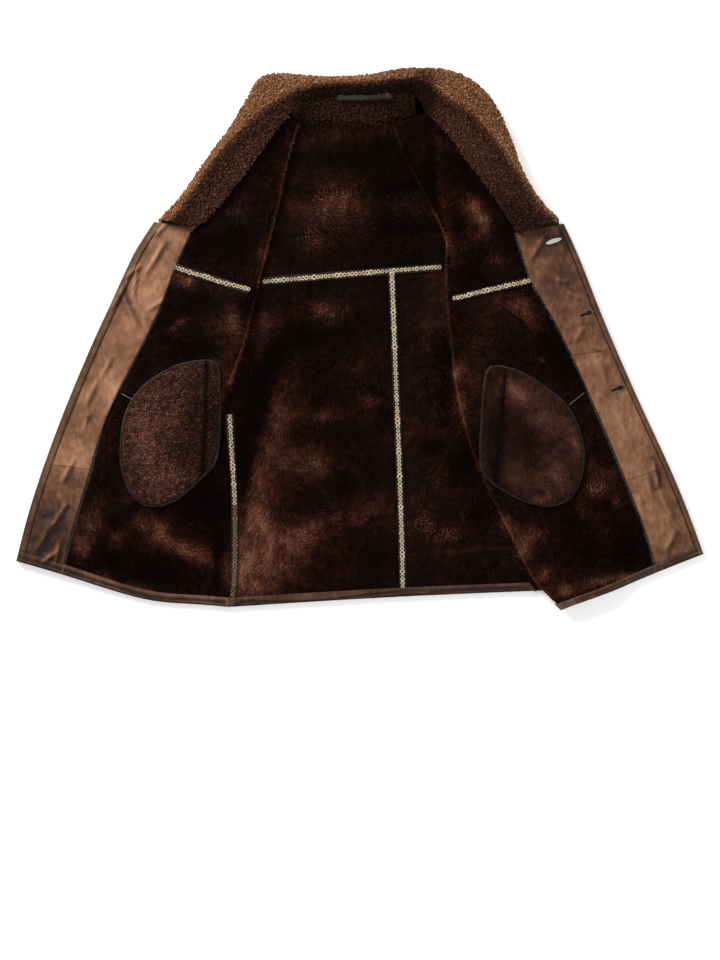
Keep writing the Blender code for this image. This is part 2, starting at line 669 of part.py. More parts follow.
STAND_PARTS = 3
stand_net = []
for k in range(len(STAND)):
    row = STAND[k]
    foot = Vector(row.foot)
    head = spline(column(COLLAR, "inner"), row.along)
    head = head + (foot - head).normalized() * GAP
    rise = level(COLLAR, "low", row.along) - 3 - row.height
    line = []
    for j in range(STAND_PARTS + 1):
        place = mix(foot, head, j / STAND_PARTS)
        line.append(Vector((place.x, place.y, row.height + rise * ease(j / STAND_PARTS))))
    stand_net.append(line)
stand_under = [[point - Vector((0, 0, STAND_WALL)) for point in line] for line in stand_net]
wall("collar_stand", stand_under, stand_net, CURL)

LOOP_FROM = 3.35
LOOP_TO = 6.65
LOOP_PARTS = 8
LOOP_HALF = 4.0
LOOP_THICK = 2.4
LOOP_RISE = 3.4
loop_rings = []
for k in range(LOOP_PARTS + 1):
    part = k / LOOP_PARTS
    v = mix(LOOP_FROM, LOOP_TO, part)
    base = int(v)
    foot = mix(stand_net[base][0], stand_net[base + 1][0], v - base)
    head = mix(stand_net[base][-1], stand_net[base + 1][-1], v - base)
    across = (head - foot).xy.normalized()
    spot = head.xy - across * (LOOP_HALF + 0.5)
    height = head.z + GAP + LOOP_RISE * math.sin(math.pi * part) ** 0.6
    ring = []
    for side, up in ((-1, 0), (1, 0), (1, 1), (-1, 1)):
        place = spot + across * (LOOP_HALF * side)
        ring.append(Vector((place.x, place.y, height + LOOP_THICK * up)))
    loop_rings.append(ring)
tube("hanger_loop", loop_rings, LOOP)

# Buttonholes through the left front
HOLE_POINTS = 12
pieces = coat.objects
for k, hole in enumerate(BUTTONHOLES):
    turn = math.radians(hole.turn)
    outline = []
    for n in range(HOLE_POINTS):
        angle = 2 * math.pi * n / HOLE_POINTS
        x = hole.half_long * math.cos(angle)
        y = hole.half_wide * math.sin(angle)
        outline.append((hole.centre[0] + x * math.cos(turn) - y * math.sin(turn),
                        hole.centre[1] + x * math.sin(turn) + y * math.cos(turn)))
    cutter = prism(f"hole_cut_{k}", outline, -5, 90)
    for name in (("front_yoke_left", "facing_left_upper"), ("front_left", "facing_left_upper"),
                 ("front_left", "facing_left_middle"))[k] + ("edge_band_left",):
        cut(pieces[name], cutter, "DIFFERENCE")

# Buttons under the right front edge
BUTTON_SIDES = 20
BUTTON_EDGE = 0.8
net, normals = nets["right"]
for k, v in enumerate(BUTTON_ROWS):
    row = front_row(RIGHT, HIGH_RIGHT, v, BUTTON_LIFT, BAND_RIGHT)
    near = front_row(RIGHT, HIGH_RIGHT, v + 0.1, BUTTON_LIFT, BAND_RIGHT)
    away = (row[COL_BAND + 1] - row[COL_BAND]).cross(near[COL_BAND] - row[COL_BAND]).normalized()
    if away.z < 0:
        away = -away
    spot = mix(row[COL_BAND], row[COL_BAND + 1], BUTTON_IN) - away * (WALL + GAP + BUTTON_THICK / 2)
    bm = bmesh.new()
    bmesh.ops.create_cone(bm, cap_ends=True, segments=BUTTON_SIDES, radius1=BUTTON_RADIUS * MM,
                          radius2=BUTTON_RADIUS * MM, depth=BUTTON_THICK * MM)
    rims = [edge for edge in bm.edges if abs(edge.verts[0].co.z - edge.verts[1].co.z) < 1e-6]
    bmesh.ops.bevel(bm, geom=rims, offset=BUTTON_EDGE * MM, segments=2, profile=0.5, affect="EDGES", material=-1)
    turn = Vector((0, 0, 1)).rotation_difference(away).to_matrix().to_4x4()
    bmesh.ops.transform(bm, matrix=Matrix.Translation(spot * MM) @ turn, verts=bm.verts[:])
    finish(f"button_{k + 1}", bm, HORN)

# The origin goes under the middle of the whole coat.
corners = [vert.co for item in coat.objects for vert in item.data.vertices]
middle = [(min(co[k] for co in corners) + max(co[k] for co in corners)) / 2 for k in (0, 1)]
for item in bpy.data.objects:
    item.data.transform(Matrix.Translation((-middle[0], -middle[1], 0)))
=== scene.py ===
import math
from collections import namedtuple
import bmesh
import bpy
from mathutils import Matrix, Vector, noise
from mathutils.bvhtree import BVHTree


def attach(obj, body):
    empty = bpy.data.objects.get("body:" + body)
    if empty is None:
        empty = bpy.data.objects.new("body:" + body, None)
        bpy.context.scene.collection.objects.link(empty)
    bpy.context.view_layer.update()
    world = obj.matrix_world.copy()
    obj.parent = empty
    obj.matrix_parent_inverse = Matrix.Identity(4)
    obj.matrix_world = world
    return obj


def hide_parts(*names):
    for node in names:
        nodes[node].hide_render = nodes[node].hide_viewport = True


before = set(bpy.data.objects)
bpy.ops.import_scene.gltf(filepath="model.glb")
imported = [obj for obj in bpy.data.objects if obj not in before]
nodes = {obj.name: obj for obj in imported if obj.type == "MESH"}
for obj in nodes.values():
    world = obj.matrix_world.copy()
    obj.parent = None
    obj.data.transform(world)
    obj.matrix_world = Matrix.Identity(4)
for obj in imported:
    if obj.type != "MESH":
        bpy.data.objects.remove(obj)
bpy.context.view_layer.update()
mm = 0.001
helpers = []  # tuft shapes and root surfaces, removed at the end
pieces = {}

# Nap of the wool, lighter (+) with painted sheen and darker (-) with painted shade: x, y, half length and
# half width in mm, turn in degrees, amount.
Patch = namedtuple("Patch", "x y long wide turn amount")
liningSheenAndShade = [
    (-65, 215, 46, 37, 0, 0.34), (-23, 197, 40, 46, 0, 0.22), (-78, 153, 25, 19, 0, 0.3),
    (-46, 315, 46, 16, 0, 0.2), (-99, 301, 22, 12, 0, 0.2), (-115, 259, 12, 46, 10, 0.15),
    (70, 184, 40, 93, 0, -0.6), (-93, 234, 22, 22, 0, -0.3), (-12, 285, 31, 16, 0, -0.25),
    (-108, 119, 31, 12, 0, -0.3), (-130, 305, 12, 31, 20, -0.3), (56, 270, 31, 31, 0, -0.3),
    (-136, -141, 28, 93, -12, 0.42), (-161, -281, 31, 62, -5, 0.5), (-170, -366, 34, 54, 0, 0.6),
    (-116, -343, 31, 39, 0, 0.4), (-90, -304, 37, 22, 20, 0.45), (-78, -191, 40, 28, 0, 0.4),
    (-46, 45, 34, 16, 0, 0.4), (-74, -118, 40, 11, -8, 0.3), (-37, -113, 28, 9, 0, 0.25),
    (12, -95, 28, 8, -15, 0.25), (3, -273, 25, 25, 0, 0.3), (-37, -281, 22, 28, 0, 0.2),
    (-9, -48, 16, 12, 0, 0.2), (-143, 22, 19, 34, -15, 0.3), (-85, 2, 31, 19, 10, -0.3),
    (-130, 60, 25, 16, 0, -0.5), (-140, -51, 19, 53, -20, -0.45), (-161, -126, 14, 53, -12, -0.5),
    (-181, -191, 11, 68, 0, -0.5), (-28, -222, 16, 22, 0, -0.2), (23, -219, 16, 25, 0, -0.2),
    (9, 36, 22, 9, 0, -0.2), (-28, 11, 22, 9, 0, -0.2), (23, -336, 19, 16, 0, -0.25),
    (-19, -293, 12, 12, 0, -0.2), (99, -290, 25, 19, 0, 0.35), (140, -301, 25, 19, 0, 0.4),
    (121, -212, 19, 22, 0, 0.25), (90, -250, 22, 31, 0, 0.35), (112, 104, 19, 12, 0, 0.35),
    (74, -126, 9, 62, 0, 0.25), (85, -17, 19, 78, 0, -0.7), (115, -40, 22, 34, 0, -0.6),
    (118, -104, 22, 22, 0, -0.4), (157, -191, 14, 31, -20, -0.4), (108, -167, 19, 9, 0, -0.3),
    (186, -268, 12, 16, -30, -0.3), (-147, 133, 11, 16, 0, 0.35), (-149, 88, 9, 9, 0, 0.4),
    (-189, 197, 16, 22, 0, 0.2), (-240, 138, 28, 22, 0, -0.2), (-194, 153, 22, 22, 0, -0.25),
    (-267, 90, 28, 11, -15, 0.45), (-279, 25, 16, 6, 40, 0.55), (-198, 22, 16, 37, 0, 0.45),
    (-229, -42, 19, 12, 0, 0.35), (-209, -76, 8, 46, -15, 0.3), (-264, 50, 28, 11, 15, -0.25),
    (-177, 48, 12, 12, 0, -0.3), (-248, -20, 25, 19, 0, -0.3), (-333, -53, 9, 12, 0, -0.2),
    (-288, -315, 53, 14, -20, 0.42), (87, 277, 11, 40, -22, 0.28), (118, 197, 9, 25, -20, 0.26),
    (68, 308, 12, 16, -20, 0.18), (-316, -284, 28, 12, -10, 0.45), (-251, -336, 34, 12, -20, 0.45),
    (-415, -281, 19, 31, -20, 0.45), (-375, -305, 12, 16, 0, 0.3), (-397, -366, 22, 11, -15, 0.35),
    (-338, -389, 31, 9, -12, 0.4), (-264, -406, 37, 8, -5, 0.4), (-431, -322, 14, 19, 0, 0.4),
    (-313, -358, 43, 14, -15, -0.35), (-380, -277, 16, 14, 0, -0.3), (-386, -339, 16, 12, 0, -0.2),
    (-229, -257, 19, 25, 0, -0.5), (-220, -322, 8, 62, 0, -0.5), (-264, -265, 12, 12, 0, -0.2),
    (186, 191, 11, 31, 32, 0.7), (214, 122, 12, 12, 0, 0.25), (133, 153, 9, 25, 15, 0.3),
    (163, 144, 12, 12, 0, 0.25), (180, 163, 19, 12, -20, 0.3), (147, 172, 14, 8, 0, -0.2),
    (226, 160, 14, 31, 15, -0.3), (177, 96, 22, 8, -8, -0.3), (149, 277, 16, 25, 30, -0.2),
    (177, 242, 14, 14, 0, -0.2), (236, 57, 22, 14, 0, 0.3), (260, 33, 8, 22, 15, 0.55),
    (281, -31, 6, 6, 0, 0.5), (152, -50, 12, 19, 0, 0.45), (180, -11, 14, 16, 0, 0.2),
    (155, -104, 12, 34, 0, 0.35), (288, -11, 17, 25, 20, -0.3), (312, -50, 17, 25, 20, -0.4),
    (211, -22, 25, 12, 0, -0.25), (130, -65, 8, 22, 0, -0.4), (353, -191, 9, 16, 20, 0.3),
    (378, -215, 20, 19, 20, 0.35), (361, -231, 16, 12, 0, 0.5), (397, -254, 12, 9, 0, 0.3),
    (343, -264, 16, 9, 0, 0.25), (372, -298, 12, 8, 0, 0.2), (360, -172, 12, 11, 0, -0.15),
    (381, -256, 9, 9, 0, -0.3), (412, -327, 17, 25, 0, -0.25), (349, -321, 16, 16, 0, -0.3),
    (326, -276, 16, 12, 0, -0.3), (228, -288, 20, 16, -35, 0.45), (264, -301, 19, 19, 0, 0.35),
    (251, -326, 14, 22, -30, 0.35), (287, -360, 17, 19, -35, 0.45), (315, -389, 22, 12, 0, 0.5),
    (367, -374, 31, 8, 12, 0.45), (409, -367, 25, 8, 12, 0.5), (232, -355, 16, 9, 0, -0.2),
]

# Rubbed and stained places of the hide facings and edge bands, same columns.
hidePatches = [
    (-313, 91, 28, 40, 20, 0.35), (-329, 60, 19, 25, 20, 0.3), (-344, 11, 22, 31, 15, 0.3),
    (-434, -180, 28, 37, 20, 0.35), (-384, -82, 19, 46, 20, 0.3), (-329, 127, 11, 16, 20, -0.45),
    (-445, -219, 19, 16, 0, -0.1), (-468, -296, 31, 43, 15, -0.55), (-450, -274, 19, 16, 0, 0.15),
    (-282, 153, 22, 12, 0, 0.25), (-496, -319, 16, 22, 0, -0.35), (-364, 60, 9, 34, 25, -0.35),
    (-302, 144, 12, 9, 0, -0.3), (299, 149, 40, 25, 0, -0.5), (304, 82, 28, 31, 0, -0.25),
    (367, -26, 31, 25, 10, 0.35), (412, -132, 25, 28, 15, 0.3), (425, -197, 16, 16, 0, 0.15),
    (457, -281, 22, 46, 20, 0.2), (333, 36, 22, 22, 0, 0.1), (372, 45, 16, 16, 0, -0.2),
    (391, -71, 22, 16, 0, -0.1), (434, -240, 16, 25, 0, 0.15), (477, -324, 25, 16, 0, -0.1),
    (456, -203, 6, 28, 10, -0.4),
]

# Lines seen from above, hem to neck, in mm.
edgeLine = {
    "right": [(-532, -344), (-514, -273), (-488, -195), (-456, -107), (-416, -14), (-382, 61),
              (-348, 132), (-318, 180)],
    "left": [(532, -333), (514, -287), (478, -198), (436, -107), (396, -17), (368, 48), (342, 116),
             (314, 178)],
}
facingLine = {
    "right": [(-462, -364), (-444, -296), (-416, -203), (-394, -124), (-348, -32), (-312, 40),
              (-286, 110), (-258, 171)],
    "left": [(460, -361), (444, -307), (410, -220), (368, -119), (328, -28), (294, 37), (264, 90),
             (240, 163)],
}
collarRidge = [(-288, 183), (-264, 220), (-232, 267), (-202, 304), (-176, 329), (-138, 361), (-100, 383),
               (-48, 392), (10, 394), (56, 399), (86, 400), (122, 380), (172, 350), (208, 307), (236, 268),
               (264, 226), (286, 195)]

# Rolled fold edges of the fronts, where the nap stands open, and the roll of the left one; a painted
# highlight lies along the fold edges, and painted shade with a painted highlight beside it along the roll.
foldLines = [
    [(-95, 333), (-106, 295), (-116, 259), (-123, 223), (-133, 181), (-144, 138), (-161, 71)],
    [(-161, 71), (-176, 6), (-203, -70)],
    [(51, 330), (68, 285), (94, 234), (119, 185), (133, 154), (133, 119), (134, 59), (140, 3), (149, -76),
     (176, -180), (222, -280), (273, -378), (311, -418)],
]
rollLines = [[(99, 394), (102, 340), (110, 270), (128, 164), (135, 118)]]


def offSegment(a, b, spot):
    # from the nearest point of a segment to the spot, and the segment's direction
    a, b = Vector(a), Vector(b)
    side = b - a
    t = max(0.0, min(1.0, (spot - a).dot(side) / side.length_squared))
    return spot - a - side * t, side


def lineNear(lines, x, y, half):
    # 1 on a line, falling to 0 beside it
    spot = Vector((x, y))
    nearest = min(offSegment(a, b, spot)[0].length / half
                  for points in lines for a, b in zip(points[:-1], points[1:]))
    return math.exp(-nearest * nearest)


def ease(t):
    t = max(0.0, min(1.0, t))
    return t * t * (3 - 2 * t)


def patchSum(patches, x, y):
    total = 0.0
    for p in patches:
        dx, dy = x - p.x, y - p.y
        if abs(dx) > 2 * p.long + p.wide or abs(dy) > 2 * p.long + p.wide * 2:
            continue
        c, s = math.cos(math.radians(p.turn)), math.sin(math.radians(p.turn))
        u, v = (dx * c + dy * s) / p.long, (dy * c - dx * s) / p.wide
        total += p.amount * math.exp(-(u * u + v * v))
    return total


# ---- materials
def newMaterial(name):
    mat = bpy.data.materials.new(name)
    mat.use_nodes = True
    return mat, mat.node_tree, mat.node_tree.nodes["Principled BSDF"]


def feed(tree, node, inputs):
    # each socket gets a constant, or a link from another node's output
    for key, value in inputs.items():
        if isinstance(value, bpy.types.NodeSocket):
            tree.links.new(value, node.inputs[key])
        else:
            node.inputs[key].default_value = value


def addNode(tree, kind, inputs=None, **settings):
    node = tree.nodes.new(kind)
    for key, value in settings.items():
        setattr(node, key, value)
    feed(tree, node, inputs or {})
    return node


def mathOf(tree, operation, *terms):
    return addNode(tree, "ShaderNodeMath", dict(enumerate(terms)), operation=operation).outputs[0]


def noiseOf(tree, scale, detail, stretch=(1, 1, 1)):
    coords = addNode(tree, "ShaderNodeTexCoord")
    place = addNode(tree, "ShaderNodeMapping", {"Vector": coords.outputs["Object"], "Scale": stretch})
    texture = addNode(tree, "ShaderNodeTexNoise",
                      {"Vector": place.outputs["Vector"], "Scale": scale, "Detail": detail})
    return texture.outputs["Fac"]


def attributeOf(tree, name):
    return addNode(tree, "ShaderNodeAttribute", attribute_name=name).outputs["Fac"]


def swung(tree, source, size, share=0.5):
    # source times size, less a share of size, so that it swings about nought
    return mathOf(tree, "MULTIPLY_ADD", source, size, -size * share)


def added(tree, parts):
    total = parts[0]
    for part in parts[1:]:
        total = mathOf(tree, "ADD", total, part)
    return total


def rampOf(tree, source, places, colours):
    node = addNode(tree, "ShaderNodeValToRGB", {"Fac": source})
    ramp = node.color_ramp
    while len(ramp.elements) < len(places):
        ramp.elements.new(0.5)
    for element, place, colour in zip(ramp.elements, places, colours):
        element.position = place
        element.color = (*colour, 1)
    return node.outputs["Color"]


def bumpOf(tree, height, distance):
    return addNode(tree, "ShaderNodeBump", {"Distance": distance, "Height": height}).outputs["Normal"]


# noise: scale, detail, and stretch where it runs along the coat; deep: bump depth in metres
woolNoise = {"broken": (48, 3, (1, 0.6, 1)), "patchy": (16, 4), "locks": (600, 2), "bump": (380, 3),
             "deep": 0.003, "sheenRough": 0.45, "tipShare": 0.6, "stops": (0.0, 0.3, 0.55, 0.8, 1.0)}


def woolMaterial(name, values, tufts):
    # light: nap patches, painted sheen and shade; shade: difference from lock to lock; tip: dark root to
    # light tip, painted shade down among the locks
    mat, tree, shader = newMaterial(name)
    broken = mathOf(tree, "MULTIPLY_ADD", noiseOf(tree, *woolNoise["broken"]), values["broken"],
                    1 - values["broken"] * 0.5)
    parts = [attributeOf(tree, "tone"), mathOf(tree, "MULTIPLY", attributeOf(tree, "light"), broken),
             swung(tree, noiseOf(tree, *woolNoise["patchy"]), values["patchy"]),
             swung(tree, noiseOf(tree, values["clumpScale"], 3), values["clumps"])]
    if tufts:
        parts.append(swung(tree, attributeOf(tree, "shade"), values["locks"]))
        parts.append(swung(tree, attributeOf(tree, "tip"), values["tips"], woolNoise["tipShare"]))
    else:
        # the wall under the locks is darker by the under value: painted shade beneath the locks
        parts.append(mathOf(tree, "MULTIPLY_ADD", noiseOf(tree, *woolNoise["locks"]), values["locks"],
                            -values["locks"] * 0.5 - values["under"]))
        feed(tree, shader, {"Normal": bumpOf(tree, noiseOf(tree, *woolNoise["bump"]), woolNoise["deep"])})
    feed(tree, shader, {
        "Base Color": rampOf(tree, added(tree, parts), woolNoise["stops"], values["colours"]),
        "Roughness": values["rough"], "Specular IOR Level": values["gloss"],
        "Sheen Weight": values["sheen"], "Sheen Roughness": woolNoise["sheenRough"],
        "Sheen Tint": (*values["sheenTint"], 1)})
    return mat


# blotches: scale, detail, stretch and share of the look's own blotch
leatherNoise = {"blotches": [(13, 5, (1, 1, 1), 0.62), (62, 5, (1, 1, 1), 0.46),
                             (160, 4, (1, 0.45, 1), 0.42)],
                "fine": (480, 3), "fineSize": 0.30, "rough": (40, 3), "roughSize": 0.3,
                "wrinkles": (70, 5, (1, 0.55, 1)), "grainScale": 620, "grainHeight": 0.12, "deep": 0.0022,
                "gloss": 0.22, "sheen": 0.04, "sheenRough": 0.5, "stops": (0.0, 0.4, 0.7, 1.0)}


def leatherMaterial(name, values):
    mat, tree, shader = newMaterial(name)
    # light: rubbing and stains on the hides, with painted light and shade of creases and painted shade in
    # grooves; on the walls of the lining panels and the collar, their painted sheen and shade
    parts = [mathOf(tree, "MULTIPLY_ADD", attributeOf(tree, "tone"), 1.0, values["base"]),
             mathOf(tree, "MULTIPLY_ADD", attributeOf(tree, "light"), values["wear"], 0.0)]
    for scale, detail, stretch, share in leatherNoise["blotches"]:
        parts.append(swung(tree, noiseOf(tree, scale, detail, stretch), share * values["blotch"]))
    parts.append(swung(tree, noiseOf(tree, *leatherNoise["fine"]), leatherNoise["fineSize"]))
    rough = mathOf(tree, "MULTIPLY_ADD", noiseOf(tree, *leatherNoise["rough"]), leatherNoise["roughSize"],
                   values["rough"] - leatherNoise["roughSize"] / 2)
    coords = addNode(tree, "ShaderNodeTexCoord")
    grain = addNode(tree, "ShaderNodeTexVoronoi",
                    {"Scale": leatherNoise["grainScale"], "Vector": coords.outputs["Object"]})
    height = added(tree, [
        mathOf(tree, "MULTIPLY_ADD", grain.outputs["Distance"], leatherNoise["grainHeight"], 0.0),
        mathOf(tree, "MULTIPLY_ADD", noiseOf(tree, *leatherNoise["wrinkles"]), values["wrinkles"], 0.0)])
    places = values.get("stops", leatherNoise["stops"])
    feed(tree, shader, {
        "Base Color": rampOf(tree, added(tree, parts), places, values["colours"]), "Roughness": rough,
        "Specular IOR Level": leatherNoise["gloss"], "Sheen Weight": leatherNoise["sheen"],
        "Sheen Roughness": leatherNoise["sheenRough"], "Normal": bumpOf(tree, height, leatherNoise["deep"])})
    return mat


def threadMaterial(name, low, high, rough=0.75):
    mat, tree, shader = newMaterial(name)
    feed(tree, shader, {
        "Base Color": rampOf(tree, noiseOf(tree, 300, 3), (0.3, 0.7), (low, high)), "Roughness": rough,
        "Normal": bumpOf(tree, noiseOf(tree, 1800, 1), 0.0004)})
    return mat


woolLook = {
    "lining": {"colours": [(0.0016, 0.0006, 0.0005), (0.0095, 0.0026, 0.0017), (0.058, 0.0165, 0.0095),
                           (0.19, 0.066, 0.037), (0.38, 0.165, 0.10)],
               "patchy": 0.32, "clumps": 0.46, "clumpScale": 85, "locks": 0.30, "tips": 0.34, "under": 0.10,
               "broken": 1.8, "rough": 0.62, "gloss": 0.05, "sheen": 0.03, "sheenTint": (0.8, 0.36, 0.22)},
    "collar": {"colours": [(0.012, 0.0040, 0.0022), (0.066, 0.0235, 0.0125), (0.19, 0.078, 0.038),
                           (0.42, 0.205, 0.088), (0.64, 0.38, 0.18)],
               "patchy": 0.14, "clumps": 0.64, "clumpScale": 170, "locks": 0.10, "tips": 0.22, "under": 0.26,
               "broken": 0.3, "rough": 0.75, "gloss": 0.07, "sheen": 0.05, "sheenTint": (0.9, 0.6, 0.35)},
    "plush": {"colours": [(0.003, 0.0011, 0.0009), (0.020, 0.0066, 0.0042), (0.088, 0.031, 0.019),
                          (0.24, 0.10, 0.062), (0.42, 0.21, 0.14)],
              "patchy": 0.34, "clumps": 0.44, "clumpScale": 90, "locks": 0.26, "tips": 0.34, "under": 0.12,
              "broken": 1.4, "rough": 0.65, "gloss": 0.06, "sheen": 0.04, "sheenTint": (0.85, 0.45, 0.32)},
    "pocket": {"colours": [(0.006, 0.0021, 0.0014), (0.032, 0.0110, 0.0068), (0.11, 0.041, 0.025),
                           (0.27, 0.120, 0.075), (0.46, 0.25, 0.165)],
               "patchy": 0.34, "clumps": 0.95, "clumpScale": 140, "locks": 0.14, "tips": 0.30, "under": 0.22,
               "broken": 0.6, "rough": 0.7, "gloss": 0.07, "sheen": 0.05, "sheenTint": (0.85, 0.5, 0.38)},
}
leatherLook = {
    "facing": {"stops": (0.0, 0.35, 0.6, 1.0), "rough": 0.7, "wrinkles": 2.0, "base": 0.52, "blotch": 1.15,
               "wear": 0.6, "colours": [(0.016, 0.0056, 0.0025), (0.098, 0.0395, 0.0185),
                                        (0.215, 0.094, 0.047), (0.43, 0.218, 0.119)]},
    "edgeBand": {"rough": 0.62, "wrinkles": 1.5, "base": 0.5, "blotch": 1.0, "wear": 0.6,
                 "colours": [(0.014, 0.0055, 0.0028), (0.090, 0.039, 0.0190), (0.19, 0.090, 0.046),
                             (0.31, 0.165, 0.094)]},
    "hem": {"rough": 0.6, "wrinkles": 1.5, "base": 0.56, "blotch": 1.2, "wear": 0.8,
            "colours": [(0.006, 0.0024, 0.0014), (0.036, 0.0145, 0.0076), (0.095, 0.042, 0.0225),
                        (0.19, 0.098, 0.058)]},
    "binding": {"rough": 0.5, "wrinkles": 1.2, "base": 0.42, "blotch": 1.5, "wear": 0.8,
                "colours": [(0.004, 0.0018, 0.0013), (0.013, 0.0056, 0.0038), (0.05, 0.025, 0.016),
                            (0.17, 0.10, 0.07)]},
    "skin": {"rough": 0.75, "wrinkles": 0.9, "base": 0.5, "blotch": 1.0, "wear": 0.8,
             "colours": [(0.014, 0.0055, 0.003), (0.060, 0.026, 0.013), (0.125, 0.058, 0.031),
                         (0.20, 0.105, 0.06)]},
    "rawEdge": {"rough": 0.8, "wrinkles": 0.6, "base": 0.4, "blotch": 1.0, "wear": 0.8,
                "colours": [(0.004, 0.0018, 0.0012), (0.011, 0.0045, 0.0026), (0.022, 0.0095, 0.0055),
                            (0.045, 0.021, 0.013)]},
    "loop": {"rough": 0.45, "wrinkles": 0.8, "base": 0.42, "blotch": 1.4, "wear": 0.8,
             "colours": [(0.004, 0.0026, 0.002), (0.011, 0.0078, 0.0062), (0.030, 0.0235, 0.019),
                         (0.13, 0.105, 0.088)]},
}
threadLook = {
    "tape": ("tapeWeave", (0.008, 0.0036, 0.0022), (0.030, 0.015, 0.009)),
    "cream": ("creamBraid", (0.42, 0.29, 0.16), (0.92, 0.78, 0.55)),
    # darker cream for braid lying deep in the wool: painted shade from the nap
    "dimCream": ("wornBraid", (0.13, 0.078, 0.042), (0.30, 0.20, 0.12)),
    "picot": ("picotThread", (0.016, 0.0075, 0.0048), (0.05, 0.026, 0.0165)),
    "overcast": ("overcastThread", (0.075, 0.06, 0.052), (0.20, 0.165, 0.145)),
    "seamThread": ("seamThread", (0.014, 0.0065, 0.004), (0.045, 0.022, 0.013)),
    "holeThread": ("buttonholeSilk", (0.10, 0.05, 0.028), (0.30, 0.17, 0.10)),
    "stay": ("stayThread", (0.16, 0.085, 0.055), (0.30, 0.18, 0.12)),
    "horn": ("buttonHorn", (0.02, 0.011, 0.007), (0.09, 0.05, 0.028), 0.3),
}
looks = {}
for look, locks, under in (("lining", "liningNap", "liningUnderwool"),
                           ("collar", "collarCurls", "collarUnderwool"),
                           ("plush", "pocketPlush", "pocketPlushUnderwool"),
                           ("pocket", "pocketCurls", "pocketUnderwool")):
    looks[look] = woolMaterial(locks, woolLook[look], True)
    looks[look + "Base"] = woolMaterial(under, woolLook[look], False)
for look, values in leatherLook.items():
    special = {"edgeBand": "edgeHide", "skin": "coatSuede", "rawEdge": "rawEdge"}
    looks[look] = leatherMaterial(special.get(look, look + "Hide"), values)
for look, values in threadLook.items():
    looks[look] = threadMaterial(*values)
print("materials ready")


# ---- meshes
def treeOf(meshes):
    # a search tree over all of them, and the name that each of its faces belongs to
    verts, faces, names = [], [], []
    for name, mesh in meshes:
        start = len(verts)
        verts += [v.co.copy() for v in mesh.vertices]
        faces += [[start + k for k in face.vertices] for face in mesh.polygons]
        names += [name] * len(mesh.polygons)
    return BVHTree.FromPolygons(verts, faces), names


solidTree, owners = treeOf((name, item.data) for name, item in sorted(nodes.items()))


def hitAway(name, place, direction, reach):
    # distance to the next solid of another node, or None
    start = place + direction * (0.4 * mm)
    left = reach
    for turn in range(4):
        spot, normal, index, distance = solidTree.ray_cast(start, direction, left)
        if spot is None:
            return None
        if owners[index] != name:
            return reach - left + distance
        start = spot + direction * (0.05 * mm)
        left -= distance + 0.05 * mm
        if left <= 0:
            return None
    return None


def copyOfNode(name):
    bm = bmesh.new()
    bm.from_mesh(nodes[name].data)
    for layer in list(bm.loops.layers.uv.values()):
        bm.loops.layers.uv.remove(layer)
    bmesh.ops.remove_doubles(bm, verts=bm.verts[:], dist=2e-5)
    bmesh.ops.join_triangles(bm, faces=bm.faces[:], angle_face_threshold=0.6, angle_shape_threshold=1.2)
    return bm


def sceneObject(name, data):
    item = bpy.data.objects.new(name, data)
    bpy.context.scene.collection.objects.link(item)
    return item


def meshObject(name, bm):
    mesh = bpy.data.meshes.new(name)
    bm.to_mesh(mesh)
    bm.free()
    return sceneObject(name, mesh)


def evaluated(item):
    graph = bpy.context.evaluated_depsgraph_get()
    return bpy.data.meshes.new_from_object(item.evaluated_get(graph))


# angles between faces, in radians, past which a rim is sharp and the wool side ends; and how often to refine
wallValues = {"rim": 0.9, "side": 0.75, "levels": 1}


def refined(bm):
    # rims stay sharp, the faces of the wall become soft
    crease = bm.edges.layers.float.get("crease_edge") or bm.edges.layers.float.new("crease_edge")
    for edge in bm.edges:
        if len(edge.link_faces) != 2 or edge.calc_face_angle(0) > wallValues["rim"]:
            edge[crease] = 1.0
    item = meshObject("refining", bm)
    soft = item.modifiers.new("soft", "SUBSURF")
    soft.levels = soft.render_levels = wallValues["levels"]
    mesh = evaluated(item)
    bpy.data.objects.remove(item)
    result = bmesh.new()
    result.from_mesh(mesh)
    bpy.data.meshes.remove(mesh)
    return result


def woolSide(bm):
    # faces reached from the highest one without crossing a rim
    seed = max(bm.faces, key=lambda face: face.normal.z * face.calc_area())
    found = {seed}
    queue = [seed]
    while queue:
        face = queue.pop()
        for edge in face.edges:
            if len(edge.link_faces) == 2 and edge.calc_face_angle(0) < wallValues["side"]:
                for other in edge.link_faces:
                    if other not in found:
                        found.add(other)
                        queue.append(other)
    return found


def paintLight(bm, patches, base, extra=None):
    # tone: the piece's base colour plus the extra, which is painted highlight and shade along folds and
    # pocket seams, and along the collar roll partly the wool's own colour as well; light: the patches, on the
    # wool painted sheen and shade, on the hides rubbing and stains
    tone = bm.verts.layers.float.get("tone") or bm.verts.layers.float.new("tone")
    light = bm.verts.layers.float.get("light") or bm.verts.layers.float.new("light")
    for vert in bm.verts:
        vert[tone] = base + (extra(vert) if extra else 0.0)
        vert[light] = patchSum(patches, vert.co.x / mm, vert.co.y / mm)


def paintRoots(bm, lean, pile):
    # lean: direction of the lock on each root; pile: its length
    leanLayer = bm.verts.layers.float_vector.new("lean")
    pileLayer = bm.verts.layers.float.new("pile")
    for vert in bm.verts:
        vert[leanLayer] = lean(vert)
        vert[pileLayer] = pile(vert)


def smoothShade(mesh):
    for face in mesh.polygons:
        face.use_smooth = True


def enter(item, slotName, *looksOf):
    # makes the object one of the coat's visible pieces
    for look in looksOf:
        item.data.materials.append(looks[look])
    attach(item, "root")
    pieces[item.name] = item
    return item


